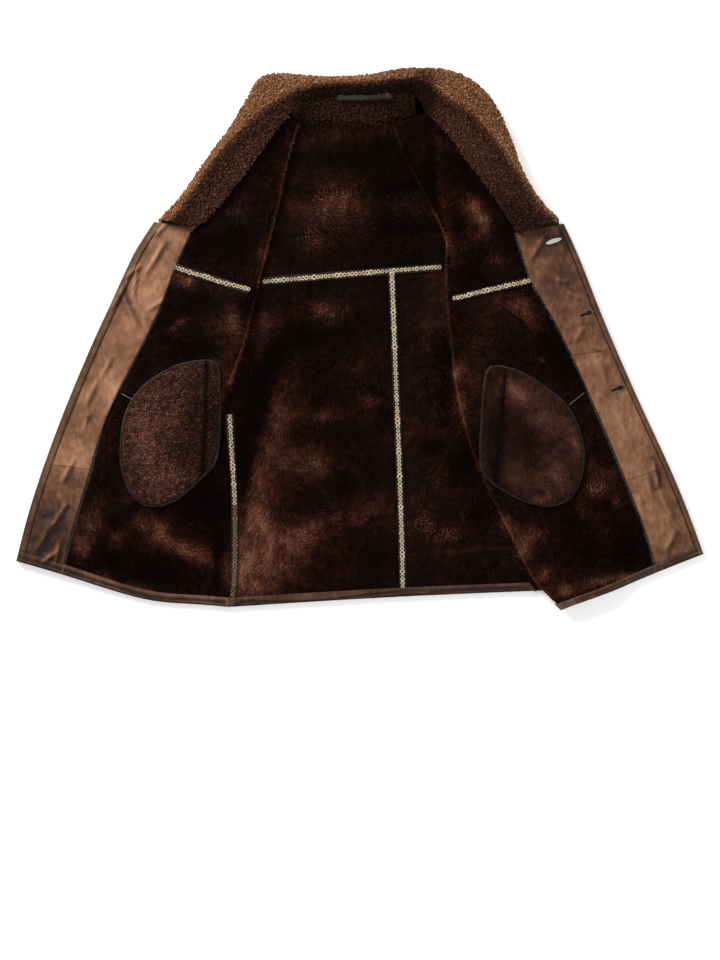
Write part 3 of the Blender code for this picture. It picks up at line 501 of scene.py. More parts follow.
def addPiece(name, bm, looksOf, slotName, replaced=()):
    item = meshObject(name, bm)
    smoothShade(item.data)
    item.data.set_sharp_from_angle(angle=wallValues["rim"])
    enter(item, slotName, *looksOf)
    if replaced:
        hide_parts(*replaced)
    return item


# ---- tufts and curls
tuftSizes = {
    "nap": {"thick": 0.9, "long": 7.0},
    "curl": {"name": "collarCurl", "thick": 0.95, "bend": 1.6, "angle": 270, "steps": 5, "pitch": 0.25},
    "pocketCurl": {"name": "pocketCurl", "thick": 1.0, "bend": 1.6, "angle": 215, "steps": 4, "pitch": 0.25},
}


def napTuft(values):
    bm = bmesh.new()
    tall = values["long"] * mm
    bmesh.ops.create_cone(bm, cap_ends=True, segments=3, radius1=values["thick"] * mm, radius2=0, depth=tall)
    bmesh.ops.translate(bm, verts=bm.verts[:], vec=(0, 0, tall / 2))
    return tuftObject("napTuft", bm, tall)


def hookTuft(values):
    # a short lock that bends over at its tip
    bm = bmesh.new()
    bmesh.ops.create_circle(bm, cap_ends=True, segments=3, radius=values["thick"] * mm)
    bmesh.ops.spin(bm, geom=bm.faces[:], cent=(values["bend"] * mm, 0, 0), axis=(0, 1, 0),
                   angle=math.radians(values["angle"]), steps=values["steps"],
                   dvec=(0, values["pitch"] * mm, 0))
    bmesh.ops.remove_doubles(bm, verts=bm.verts[:], dist=1e-6)
    bmesh.ops.recalc_face_normals(bm, faces=bm.faces[:])
    return tuftObject(values["name"], bm, 2 * values["bend"] * mm)


def tuftObject(name, bm, tall):
    layer = bm.verts.layers.float.new("tip")
    for vert in bm.verts:
        vert[layer] = max(0.0, min(1.0, vert.co.z / tall))
    item = meshObject(name, bm)
    smoothShade(item.data)
    helpers.append(item)
    return item


tufts = {"nap": napTuft(tuftSizes["nap"]), "curl": hookTuft(tuftSizes["curl"]),
         "pocketCurl": hookTuft(tuftSizes["pocketCurl"])}
# seam between each bag and its strip, top and foot in mm, and how short the pile is there and how dark, the
# dark being painted shade in the seam
pocketSeams = {"right": ((-235.5, -16), (-245, -271)), "left": ((226.5, -26), (203.5, -281)),
               "shortest": 0.45, "half": 4.5, "dark": 0.4}


def pocketPile(place):
    # short at the seam between a bag and its strip
    a, b = (Vector(end) for end in pocketSeams["right" if place.x < 0 else "left"])
    side = (b - a).normalized()
    away = abs((place.x - a.x) * side.y - (place.y - a.y) * side.x)
    return pocketSeams["shortest"] + (1 - pocketSeams["shortest"]) * ease((away - 0.5) / pocketSeams["half"])


growth = {
    "pocketNap": {"tuft": "nap", "apart": 1.4, "perSquareMetre": 640000, "small": 0.5, "large": 0.85,
                  "tilt": 0.6, "seed": 13, "look": "plush", "sink": 2.2, "flat": 0.6, "longest": 6,
                  "rim": 0.6, "height": pocketPile},
    "lining": {"tuft": "nap", "apart": 1.5, "perSquareMetre": 560000, "small": 0.75, "large": 1.25,
               "tilt": 0.5, "seed": 3, "look": "lining", "sink": 3.0, "flat": 0.68, "longest": 9, "rim": 0.3},
    "collar": {"tuft": "curl", "apart": 2.6, "perSquareMetre": 180000, "small": 0.8, "large": 1.35,
               "tilt": 0.9, "seed": 7, "look": "collar", "sink": 2.4, "flat": 0.0, "longest": 8, "rim": 0.9},
    "stand": {"tuft": "curl", "apart": 2.6, "perSquareMetre": 180000, "small": 0.8, "large": 1.3,
              "tilt": 0.9, "seed": 9, "look": "collar", "sink": 2.4, "flat": 0.0, "longest": 6, "rim": 0.9},
    "pocket": {"tuft": "pocketCurl", "apart": 2.3, "perSquareMetre": 220000, "small": 0.7, "large": 1.15,
               "tilt": 0.9, "seed": 11, "look": "pocket", "sink": 2.2, "flat": 0.0, "longest": 6,
               "rim": 0.6, "height": pocketPile},
}
# swirls of the nap as size and scale, and the room in mm that a lock needs along its root and above it
napLie = {"turn": ((2.3, 7.5), (1.1, 21)), "uneven": (0.35, 13), "clear": 8.0, "above": 45.0}
# map of a wool piece: pull by height, and room about it in metres
bakeMap = {"spread": 0.35, "room": 0.07, "left": 0.02, "below": 0.03}


def woolTree(name, values, span, corner):
    # locks scattered over a root surface, each turned along "lean", made real
    tree = bpy.data.node_groups.new(name, "GeometryNodeTree")
    for way in ("INPUT", "OUTPUT"):
        tree.interface.new_socket("Geometry", in_out=way, socket_type="NodeSocketGeometry")
    tilt, seed = values["tilt"], values["seed"]
    random = "FunctionNodeRandomValue"
    attribute = "GeometryNodeInputNamedAttribute"
    start = addNode(tree, "NodeGroupInput")
    scatter = addNode(tree, "GeometryNodeDistributePointsOnFaces", {
        "Mesh": start.outputs[0], "Distance Min": values["apart"] * mm,
        "Density Max": values["perSquareMetre"], "Seed": seed}, distribute_method="POISSON")
    lean = addNode(tree, attribute, {"Name": "lean"}, data_type="FLOAT_VECTOR")
    align = addNode(tree, "FunctionNodeAlignRotationToVector", {"Vector": lean.outputs[0]}, axis="Z")
    swing = addNode(tree, random, {0: (-tilt, -tilt, -math.pi), 1: (tilt, tilt, math.pi), "Seed": seed + 1},
                    data_type="FLOAT_VECTOR")
    euler = addNode(tree, "FunctionNodeEulerToRotation", {0: swing.outputs[0]})
    spin = addNode(tree, "FunctionNodeRotateRotation", {0: align.outputs[0], 1: euler.outputs[0]},
                   rotation_space="LOCAL")
    size = addNode(tree, random, {2: values["small"], 3: values["large"], "Seed": seed + 2},
                   data_type="FLOAT")
    pile = addNode(tree, attribute, {"Name": "pile"}, data_type="FLOAT")
    lock = addNode(tree, "GeometryNodeObjectInfo", {"Object": tufts[values["tuft"]]})
    place = addNode(tree, "GeometryNodeInstanceOnPoints", {
        "Points": scatter.outputs["Points"], "Instance": lock.outputs["Geometry"],
        "Rotation": spin.outputs[0], "Scale": mathOf(tree, "MULTIPLY", size.outputs[1], pile.outputs[0])})
    shade = addNode(tree, random, {"Seed": seed + 3}, data_type="FLOAT")
    store = addNode(tree, "GeometryNodeStoreNamedAttribute", {
        "Name": "shade", "Geometry": place.outputs[0], "Value": shade.outputs[1]},
        data_type="FLOAT", domain="INSTANCE")
    real = addNode(tree, "GeometryNodeRealizeInstances", {0: store.outputs[0]})
    # a flat map seen from above, pulled a little apart by height
    spot = addNode(tree, "GeometryNodeInputPosition")
    split = addNode(tree, "ShaderNodeSeparateXYZ", {0: spot.outputs[0]})
    across = mathOf(tree, "MULTIPLY_ADD", split.outputs["Z"], bakeMap["spread"], split.outputs["X"])
    flat = addNode(tree, "ShaderNodeCombineXYZ", {"X": across, "Y": split.outputs["Y"]})
    fit = addNode(tree, "ShaderNodeVectorMath", {
        0: flat.outputs[0], 1: (1 / span,) * 3, 2: (-corner[0] / span, -corner[1] / span, 0)},
        operation="MULTIPLY_ADD")
    keep = addNode(tree, "GeometryNodeStoreNamedAttribute", {
        "Name": "OFBake", "Geometry": real.outputs[0], "Value": fit.outputs[0]},
        data_type="FLOAT2", domain="CORNER")
    addNode(tree, "NodeGroupOutput", {0: keep.outputs[0]})
    return tree


def growWool(name, bm, values):
    xs = [v.co.x for v in bm.verts]
    ys = [v.co.y for v in bm.verts]
    span = max(max(xs) - min(xs), max(ys) - min(ys)) + bakeMap["room"]
    corner = (min(xs) - bakeMap["left"], min(ys) - bakeMap["below"])
    roots = meshObject(name + "Roots", bm)
    helpers.append(roots)
    roots.modifiers.new("wool", "NODES").node_group = woolTree(name, values, span, corner)
    mesh = evaluated(roots)
    for extra in ("lean", "pile"):
        if extra in mesh.attributes:
            mesh.attributes.remove(mesh.attributes[extra])
    mesh.materials.clear()
    print(f"  {name}: {len(mesh.polygons)} faces")
    look = values["look"]
    return enter(sceneObject(name, mesh), "wool" if look == "lining" else "curly_wool", look)


def napAt(vert, flatness):
    # direction of a lock: down the coat with swirls, leaning away from the skin
    place = vert.co
    turn = -math.pi / 2 + sum(size * noise.noise(place * scale) for size, scale in napLie["turn"])
    along = Vector((math.cos(turn), math.sin(turn), 0))
    along -= vert.normal * along.dot(vert.normal)
    if along.length > 1e-4:
        along.normalize()
    uneven, scale = napLie["uneven"]
    flat = flatness * (1 + uneven * noise.noise(place * scale + Vector((5, 1, 2))))
    return (vert.normal * (1 - 0.75 * flat) + along * flat).normalized()


def cutShort(bm, longest):
    # split long edges until none is longer than this
    for turn in range(5):
        edges = [edge for edge in bm.edges if edge.calc_length() > longest * mm]
        if not edges:
            break
        bmesh.ops.subdivide_edges(bm, edges=edges, cuts=1, use_grid_fill=True)
    bmesh.ops.triangulate(bm, faces=[face for face in bm.faces if len(face.verts) > 4])


def isOpen(nodeName, place, normal):
    # nothing lies on the wool here, and it can be seen from above or from the side
    if normal.z < -0.15 or hitAway(nodeName, place, normal, napLie["clear"] * mm) is not None:
        return False
    return normal.z < 0.4 or hitAway(nodeName, place, Vector((0, 0, 1)), napLie["above"] * mm) is None


def keepFaces(bm, test):
    bmesh.ops.delete(bm, geom=[face for face in bm.faces if not test(face)], context="FACES")


def woolPiece(nodeName, kind, baseLook, skinLook, patches, base, slotName, extra=None, split=None):
    # the wall of a panel with its wool side sunk a little, and the locks that stand on it
    values = growth[kind]
    bm = refined(copyOfNode(nodeName))
    bm.normal_update()
    wool = woolSide(bm)
    for face in bm.faces:
        face.material_index = 0 if face in wool else 1
    bm.faces.index_update()
    keep = {face.index for face in wool}
    roots = bm.copy()
    roots.faces.ensure_lookup_table()
    keepFaces(roots, lambda face: face.index in keep)
    cutShort(roots, values["longest"])
    bmesh.ops.triangulate(roots, faces=roots.faces[:])
    roots.normal_update()
    shut = {vert for vert in roots.verts if not isOpen(nodeName, vert.co, vert.normal)}
    keepFaces(roots, lambda face: any(vert not in shut for vert in face.verts))
    # the wall sinks under the locks wherever nothing lies on it
    for mesh, rims in ((bm, True), (roots, False)):
        moves = []
        for vert in mesh.verts:
            around = [face for face in vert.link_faces if not rims or face in wool]
            if not around:
                continue
            normal = sum((face.normal for face in around), Vector()).normalized()
            if isOpen(nodeName, vert.co, normal):
                moves.append((vert, normal * (values["sink"] * mm)))
        for vert, move in moves:
            vert.co -= move
    paintLight(bm, patches, base, extra)
    paintLight(roots, patches, base, extra)
    height = values.get("height", lambda place: 1.0)
    paintRoots(roots, lambda vert: napAt(vert, values["flat"]) if values["flat"] > 0 else vert.normal,
               lambda vert: height(vert.co / mm) * (values["rim"] if vert.is_boundary else 1.0))
    for suffix, test in (split or {"_nap": lambda place: True}).items():
        part = roots.copy()
        keepFaces(part, lambda face: test(face.calc_center_median()))
        growWool(nodeName + suffix, part, values)
    roots.free()
    addPiece(nodeName + "_hide", bm, [baseLook, skinLook], slotName, [nodeName])


# ---- lining panels
lining = [Patch(*row) for row in liningSheenAndShade]
liningPanels = {
    "nodes": ["back_left", "back_right", "back_yoke", "front_left", "front_right", "front_yoke_left",
              "front_yoke_right"],
    "base": 0.345, "foldLight": 0.16, "rollDark": 0.24, "rollLight": 0.16, "lineHalf": 5,
}


# painted highlight on the fold edges, painted shade on the roll and a painted highlight beside it
def foldLight(vert):
    x, y, half = vert.co.x / mm, vert.co.y / mm, liningPanels["lineHalf"]
    bright = liningPanels["foldLight"] * lineNear(foldLines, x, y, half)
    dark = liningPanels["rollDark"] * lineNear(rollLines, x, y, half)
    return bright - dark + liningPanels["rollLight"] * lineNear(rollLines, x - 11, y, 7)


for name in liningPanels["nodes"]:
    woolPiece(name, "lining", "liningBase", "rawEdge", lining, liningPanels["base"], "wool", foldLight)
print("lining panels made")


# ---- collar and stand
def ridgeSide(vert):
    # golden past the roll and reddish dark inside it, partly the wool's own colour and partly painted light
    # on the slopes; a painted highlight along the crest, painted shade inside it, and darker still at the
    # back of the neck as painted shade
    place = vert.co.xy / mm
    best = None
    for a, b in zip(collarRidge[:-1], collarRidge[1:]):
        away, side = offSegment(a, b, place)
        if best is None or away.length < abs(best):
            best = away.length if side.x * away.y - side.y * away.x > 0 else -away.length
    gold = ease((best + 7) / 14)
    rim = math.exp(-((best - 1) / 5.0) ** 2) * 0.16 - math.exp(-((best + 14) / 8.0) ** 2) * 0.08
    back = ease((place.y - 345) / 25) * ease((110 - abs(place.x)) / 30) * (1 - gold)
    return 0.32 * gold + rim - 0.24 * back


# painted shade in the notch at the back of the neck, and places where the collar is a little lighter or
# darker
collarLightAndShade = [Patch(*row) for row in [
    (96, 352, 12, 50, 0, -0.5), (105, 385, 12, 25, 0, -0.3), (78, 374, 24, 20, 0, -0.22),
    (-250, 175, 40, 30, 40, 0.05), (230, 195, 40, 24, -45, -0.18), (255, 180, 24, 20, 0, -0.1),
    (-270, 180, 30, 20, 0, -0.05), (180, 300, 60, 14, -50, 0.05), (-180, 262, 60, 14, 50, 0.06),
    (270, 205, 30, 10, -50, 0.1),
]]
# painted shade on the stand by the notch
standShade = [Patch(96, 352, 14, 40, 0, -0.4), Patch(70, 356, 30, 22, 0, -0.2)]
collarParts = {"_curls_right": lambda c: c.x < -0.11, "_curls_back": lambda c: -0.11 <= c.x < 0.115,
               "_curls_left": lambda c: c.x >= 0.115}
woolPiece("collar", "collar", "collarBase", "rawEdge", collarLightAndShade, 0.40, "curly_wool", ridgeSide,
          collarParts)
woolPiece("collar_stand", "stand", "collarBase", "rawEdge", standShade, 0.29, "curly_wool")
print("collar made")

# ---- pocket bags and the strips beside them
# painted highlights (+) and painted shade (-) on the pocket wool
pocketLightAndShade = [Patch(*row) for row in [
    (-332, -160, 24, 60, 10, 0.24), (-288, -215, 32, 22, 0, 0.16), (-256, -120, 16, 60, 0, -0.2),
    (-300, -120, 30, 14, 20, 0.08), (-276, -176, 12, 24, 0, -0.12),
    (-228, -110, 10, 60, 0, -0.12), (295, -205, 36, 20, 0, 0.10), (235, -95, 20, 30, 0, 0.02),
    (207, -130, 10, 60, 0, -0.02), (-300, -80, 30, 16, 20, -0.02), (248, -84, 26, 15, -20, 0.34),
    (285, -126, 30, 18, -30, 0.3), (215, -146, 12, 24, 0, -0.2), (305, -205, 16, 24, 0, 0.2),
    (250, -215, 30, 14, -20, 0.16), (210, -200, 10, 22, 0, -0.2), (285, -248, 32, 6, 18, 0.34),
    (330, -160, 7, 30, 12, 0.3), (226, -70, 12, 10, 0, 0.2), (262, -160, 20, 20, 0, -0.16),
]]
pocketTone = {"right": ("pocket", "pocketBase", 0.51), "left": ("pocketNap", "plushBase", 0.44),
              "strip": 0.05}


# painted shade along the seam, where the pile is short
def pocketSeam(vert):
    return -pocketSeams["dark"] * (1 - pocketPile(vert.co / mm)) / (1 - pocketSeams["shortest"])


for side in ("right", "left"):
    kind, look, bagBase = pocketTone[side]
    for part, base in (("pocket_bag_", bagBase), ("pocket_strip_", bagBase - pocketTone["strip"])):
        woolPiece(part + side, kind, look, look, pocketLightAndShade, base, "curly_wool", pocketSeam)
print("pockets made")


# ---- lines through points
def splineAt(points, t):
    k = max(0, min(int(t), len(points) - 2))
    f = t - k
    p1, p2 = Vector(points[k]), Vector(points[k + 1])
    p0 = Vector(points[k - 1]) if k > 0 else 2 * p1 - p2
    p3 = Vector(points[k + 2]) if k + 2 < len(points) else 2 * p2 - p1
    return 0.5 * (2 * p1 + (p2 - p0) * f + (2 * p0 - 5 * p1 + 4 * p2 - p3) * f ** 2
                  + (3 * p1 - p0 - 3 * p2 + p3) * f ** 3)


def stepped(points, apart, inset=0.0):
    # places at even distances along a line, moved sideways by inset, with the direction there
    dense = [splineAt(points, k / 24) for k in range(24 * (len(points) - 1) + 1)]
    places, walked, due = [], 0.0, apart / 2
    for a, b in zip(dense[:-1], dense[1:]):
        length = (b - a).length
        while walked + length >= due and length > 0:
            spot = a.lerp(b, (due - walked) / length)
            along = (b - a).normalized()
            places.append((spot + Vector((-along.y, along.x)) * inset, along))
            due += apart
        walked += length
    return places


def ribbon(points, perPart, rows, half):
    # a grid laid along a line: the mesh, and each vertex with its place and the way across
    bm = bmesh.new()
    last = len(points) - 1
    bmesh.ops.create_grid(bm, x_segments=perPart * last, y_segments=rows, size=1)
    places = []
    for vert in bm.verts:
        t = (vert.co.x + 1) / 2 * last
        ahead = splineAt(points, min(t + 0.05, last)) - splineAt(points, max(t - 0.05, 0))
        across = Vector((-ahead.y, ahead.x, 0)).normalized()
        places.append((vert, splineAt(points, t).to_3d() + across * half * vert.co.y, across))
    return bm, places


# strips under the seams at the neck, side, hem corners and collar ends: (x, y, z) and half width in mm.
# They fill gaps between the pieces: at the neck darker wool with curls, partly wool and partly painted shade;
# at the side seam and hem corners near-black strips, painted shade; at the collar ends facing hide.
seamStrips = {
    "neck_seam_strip": ([(-110, 370, 6), (-107, 353, 5), (-97, 342.5, 5), (-70, 340.5, 5), (-20, 337, 5),
                         (12, 336.5, 5), (40, 337.5, 5), (66, 340, 5), (84, 343, 4.5), (100, 349, 4)],
                        7, "collar"),
    "neck_end_strip": ([(88, 342, 4), (92, 356, 6), (95, 372, 8), (100, 388, 9)], 17, "collar"),
    "collar_end_strip_right": ([(-309, 181, 2.0), (-300, 181, 2.0), (-280, 177, 2.0), (-256, 168, 2.0)],
                               6, "hide"),
    "collar_end_strip_left": ([(308, 182, 2.0), (296, 180, 2.0), (270, 172, 2.0), (244, 160, 2.0)],
                              7, "hide"),
    "side_seam_strip": ([(-226, -88, 0.6), (-215, -110, 0.6), (-208, -160, 0.6), (-204, -230, 0.6),
                         (-202, -310, 0.6), (-202, -398, 0.6)], 9, "raw"),
    "hem_corner_strip_right": ([(-467, -348, 0.6), (-452, -354, 0.6)], 6, "raw"),
    "hem_corner_strip_left": ([(452, -354, 0.6), (467, -348, 0.6)], 6, "raw"),
}
stripLook = {"collar": ("collarBase", "curly_wool", 0.2), "hide": ("facing", "leather", 0.0),
             "raw": ("rawEdge", "leather", 0.0), "thick": 1.2}


def seamStrip(name, points, half, kind):
    look, slotName, base = stripLook[kind]
    bm, places = ribbon(points, 8, 4, half)
    for vert, spot, across in places:
        vert.co = spot * mm
    bm.normal_update()
    paintLight(bm, [], base)
    if kind == "collar":
        roots = bm.copy()
        bmesh.ops.triangulate(roots, faces=roots.faces[:])
        roots.normal_update()
        paintRoots(roots, lambda vert: (0, 0, 1), lambda vert: 1.0)
        growWool(name + "_curls", roots, growth["stand"])
    bmesh.ops.solidify(bm, geom=bm.faces[:], thickness=stripLook["thick"] * mm)
    addPiece(name, bm, [look], slotName)


foldEdge = {"half": 1.7, "tone": 0.34, "sunk": 1.2, "feelers": (-4, -1.5, 1.5, 4), "pile": 0.55,
            "lean": (0.25, -0.5, 1), "apart": 1.1, "perSquareMetre": 900000,
            "lines": {"right": foldLines[0] + foldLines[1][1:],
                      "left": foldLines[2][:-2] + [(269, -372), (296, -400)]}}


def foldEdgeWool(name, line):
    # the nap stands open along a rolled fold and catches the light, painted as a lighter colour on its locks
    bm, places = ribbon(line, 6, 2, foldEdge["half"])
    for vert, spot, across in places:
        tops = []
        for reach in foldEdge["feelers"]:
            place = (spot + across * reach) * mm
            hit = solidTree.ray_cast(Vector((place.x, place.y, 0.2)), Vector((0, 0, -1)))[0]
            if hit is not None:
                tops.append(hit.z)
        top = max(tops) if tops else 4 * mm
        vert.co = Vector((spot.x * mm, spot.y * mm, top - foldEdge["sunk"] * mm))
    bmesh.ops.triangulate(bm, faces=bm.faces[:])
    bm.normal_update()
    paintLight(bm, lining, liningPanels["base"] + foldEdge["tone"])
    paintRoots(bm, lambda vert: foldEdge["lean"], lambda vert: foldEdge["pile"])
    growWool(name, bm, dict(growth["lining"], apart=foldEdge["apart"],
                            perSquareMetre=foldEdge["perSquareMetre"]))


for side, line in foldEdge["lines"].items():
    foldEdgeWool("fold_edge_wool_" + side, line)


# ---- hide facings, bands, bindings, loop, tapes, sleeves
hideWear = [Patch(*row) for row in hidePatches]
# soft creases: ends in mm, half width, height (+ ridge, - trough)
Crease = namedtuple("Crease", "x1 y1 x2 y2 half height")
facingCreases = [Crease(*row) for row in [
    (-374, 84, -340, 14, 4, 3.4), (-356, 66, -318, 14, 3.5, 2.8), (-388, 40, -362, 88, 3.5, 2.6),
    (-366, 92, -338, 116, 3.5, 2.4), (-300, 152, -334, 96, 4, 3.0), (-322, 156, -288, 190, 3.5, 2.4),
    (-300, 62, -332, 42, 3.5, 1.8), (-344, 118, -352, 60, 3, 2.2), (-480, -300, -452, -250, 4.5, 2.6),
    (-502, -332, -474, -278, 5, 2.6), (-464, -310, -472, -350, 3.5, 2.4), (-448, -262, -470, -238, 3.5, 2.0),
    (-440, -180, -464, -227, 4, 2.2), (-405, -60, -427, -107, 4, 1.8), (-380, -20, -404, -66, 3.5, 1.6),
    (-494, -347, -468, -328, 3.5, 2.8), (-430, -150, -420, -110, 3.5, 1.4), (452, -186, 462, -232, 4, 3.4),
    (460, -232, 484, -277, 4, 2.8), (440, -200, 452, -252, 4, 1.8), (300, 92, 324, 87, 4, 1.8),
    (318, 74, 340, 60, 3.5, 1.6), (286, 162, 260, 118, 4, 1.8), (380, -70, 366, -28, 4, 1.6),
    (412, -150, 398, -116, 4, 1.5), (490, -290, 470, -332, 5, 2.0), (345, 20, 330, -7, 4, 1.5),
    (428, -238, 436, -272, 4, 1.6), (300, 172, 318, 130, 3.5, 1.6), (352, -10, 384, -22, 3.5, 1.4),
]]


def creaseHeight(creases, x, y):
    total = 0.0
    for c in creases:
        side = Vector((c.x2 - c.x1, c.y2 - c.y1))
        rel = Vector((x - c.x1, y - c.y1))
        t = rel.dot(side) / side.length_squared
        if -0.3 < t < 1.3:
            away = abs(rel.x * side.y - rel.y * side.x) / side.length / c.half
            if away < 2.2:
                total += c.height * math.exp(-away * away) * ease(1 - abs(2 * t - 1) ** 2 * 0.9)
    return total


# a crease's side away from the light is darker; a groove lies along a row of stitches and is darkened as
# painted shade; ripples are all over
hideRelief = {"shadeStep": 3.2, "shade": 0.36, "grooveHalf": 1.5, "groove": 0.9, "coarse": 55, "fine": 130}


def hidePiece(name, look, slotName, patches, base, longest, creases=(), ripple=0.0, grooves=()):
    bm = refined(copyOfNode(name))
    cutShort(bm, longest)
    bm.normal_update()
    paintLight(bm, patches, base)
    moves = []
    light = bm.verts.layers.float["light"]
    step = hideRelief["shadeStep"]
    for vert in bm.verts:
        x, y = vert.co.x / mm, vert.co.y / mm
        rise = creaseHeight(creases, x, y)
        vert[light] += hideRelief["shade"] * (rise - creaseHeight(creases, x - step, y + step))
        if grooves:
            groove = hideRelief["groove"] * lineNear(grooves, x, y, hideRelief["grooveHalf"])
            rise -= groove
            vert[light] -= groove
        rise += ripple * (0.5 + 0.5 * noise.noise(vert.co * hideRelief["coarse"]))
        rise += ripple * 0.5 * (1 + noise.noise(vert.co * hideRelief["fine"]))
        moves.append((vert, rise))
    for vert, rise in moves:
        vert.co.z += rise * mm
    addPiece(name + "_hide", bm, [look], slotName, [name])


hideParts = {
    "facing_left_lower": ("facing", -0.03), "facing_left_middle": ("facing", 0.07),
    "facing_left_upper": ("facing", -0.04), "facing_right_lower": ("facing", -0.10),
    "facing_right_upper": ("facing", 0.04), "edge_band_left": ("edgeBand", 0.04),
    "edge_band_right": ("edgeBand", 0.04), "hem_band_back": ("hem", 0.02), "hem_band_left": ("hem", 0.24),
    "hem_band_right": ("hem", 0.22), "pocket_binding_left": ("binding", -0.1),
    "pocket_binding_right": ("binding", -0.02),
}
hideGrain = {"facing": (4, 0.6), "grooved": (4, 0.3), "plain": (9, 0.3), "loop": 6, "tape": 14, "sleeve": 14}
stitching = {"apart": 4.0, "size": (1.75, 0.62, 0.6), "bandInset": {"right": 11.4, "left": 8.6},
             "edgeInset": 2.6, "wobble": 0.12}
overcast = {"apart": 2.5, "size": (2.5, 0.7, 0.8), "inset": 1.2, "turn": 1.15, "lift": 0.5}
hemLines = {
    "hem_stitching_right": [(-530, -346), (-462, -366), (-396, -388), (-334, -404), (-262, -413),
                            (-206, -416)],
    "hem_stitching_back": [(-200, -414), (-130, -416), (-60, -414), (0, -407), (66, -400), (140, -397),
                           (220, -394), (268, -391)],
    "hem_stitching_left": [(530, -335), (460, -363), (386, -394), (330, -414)],
}
hemInsets = (3.2, 9.0)
sideSign = {"right": -1, "left": 1}


def hemSign(name):
    return -1 if name.endswith("left") else 1


def insetLine(points, inset):
    return [tuple(place) for place, along in stepped(points, 12, inset)]


for name, (look, base) in hideParts.items():
    slotName = "leather" if look in ("facing", "edgeBand") else "hem_leather"
    grooves = []
    if look == "edgeBand":
        side = name.split("_")[-1]
        grooves = [insetLine(edgeLine[side], stitching["bandInset"][side] * sideSign[side])]
    if look == "hem":
        points = hemLines[name.replace("band", "stitching")]
        grooves = [insetLine(points, hemSign(name) * depth) for depth in hemInsets]
    longest, ripple = hideGrain["facing" if look == "facing" else "grooved" if grooves else "plain"]
    hidePiece(name, look, slotName, hideWear, base, longest, facingCreases, ripple, grooves)
hidePiece("hanger_loop", "loop", "loop_leather", [], 0.0, hideGrain["loop"])
for name in sorted(nodes):
    if name.startswith("tape_"):
        hidePiece(name, "tape", "seam_tape", [], 0.0, hideGrain["tape"])
for name, (points, half, kind) in seamStrips.items():
    seamStrip(name, points, half, kind)
sleeveCreases = [Crease(*row) for row in [
    (-300, 60, -250, 40, 9, 2), (-330, -40, -268, -70, 9, 2), (-372, -180, -300, -210, 10, 2),
    (300, 50, 252, 30, 9, 2), (338, -60, 276, -90, 9, 2), (400, -190, 320, -215, 10, 2),
]]
for side in ("right", "left"):
    hidePiece("sleeve_" + side, "skin", "leather", [], 0.0, hideGrain["sleeve"], sleeveCreases)
print("hide pieces made")

for name in ("button_1", "button_2", "button_3"):
    nodes[name].data.materials.clear()
    nodes[name].data.materials.append(looks["horn"])

# ---- sewing
surfaceTree, surfaceOwners = treeOf((item.name, item.data) for item in pieces.values()
                                    if item.name.endswith("_hide"))


def onTop(x, y, lift=0.0, only=None):
    start = Vector((x * mm, y * mm, 0.2))
    spot, normal, index, distance = surfaceTree.ray_cast(start, Vector((0, 0, -1)))
    if spot is None or (only and surfaceOwners[index] != only):
        return None, None
    return spot + normal * (lift * mm), normal


def meshOnly(bm):
    mesh = bpy.data.meshes.new("unit")
    bm.to_mesh(mesh)
    bm.free()
    return mesh


def stitchShape(size):
    bm = bmesh.new()
    bmesh.ops.create_icosphere(bm, subdivisions=1, radius=1)
    bmesh.ops.scale(bm, vec=Vector(size) * mm, verts=bm.verts[:])
    return meshOnly(bm)


def ringShape(wide, thick, flat):
    bm = bmesh.new()
    place = Matrix.Translation((wide * mm, 0, 0)) @ Matrix.Rotation(math.pi / 2, 4, "X")
    bmesh.ops.create_circle(bm, segments=4, radius=thick * mm, cap_ends=False, matrix=place)
    bmesh.ops.spin(bm, geom=bm.edges[:], cent=(0, 0, 0), axis=(0, 0, 1), angle=2 * math.pi, steps=8,
                   use_merge=True, use_duplicate=False)
    bmesh.ops.remove_doubles(bm, verts=bm.verts[:], dist=1e-6)
    bmesh.ops.scale(bm, vec=(1, flat, 1), verts=bm.verts[:])
    bmesh.ops.recalc_face_normals(bm, faces=bm.faces[:])
    return meshOnly(bm)


def layCopies(name, unit, places, look, slotName, lift, turn=0.0, wobble=0.0, only=None, uneven=0.0):
    # one joined mesh of the same small shape along a line
    bm = bmesh.new()
    for k, (spot, along) in enumerate(places):
        top, normal = onTop(spot.x, spot.y, lift, only)
        if top is None:
            continue
        forward = Vector((along.x, along.y, 0))
        forward = (forward - normal * forward.dot(normal)).normalized()
        basis = Matrix((forward, normal.cross(forward), normal)).transposed().to_4x4()
        swing = turn + wobble * noise.noise(Vector((k * 1.7, 0.3, 5.1)))
        size = 1 + uneven * noise.noise(Vector((k * 0.83, 2.2, 7.7)))
        before = len(bm.verts)
        bm.from_mesh(unit)
        bm.verts.ensure_lookup_table()
        place = Matrix.Translation(top) @ basis @ Matrix.Rotation(swing, 4, "Z") @ Matrix.Scale(size, 4)
        bmesh.ops.transform(bm, matrix=place, verts=bm.verts[before:])
    item = meshObject(name, bm)
    smoothShade(item.data)
    enter(item, slotName, look)


def sewLine(name, lines, slotName):
    places = []
    for points, inset in lines:
        places += stepped(points, stitching["apart"], inset)
    layCopies(name, stitchUnit, places, "seamThread", slotName, 0.1, 0.0, stitching["wobble"])


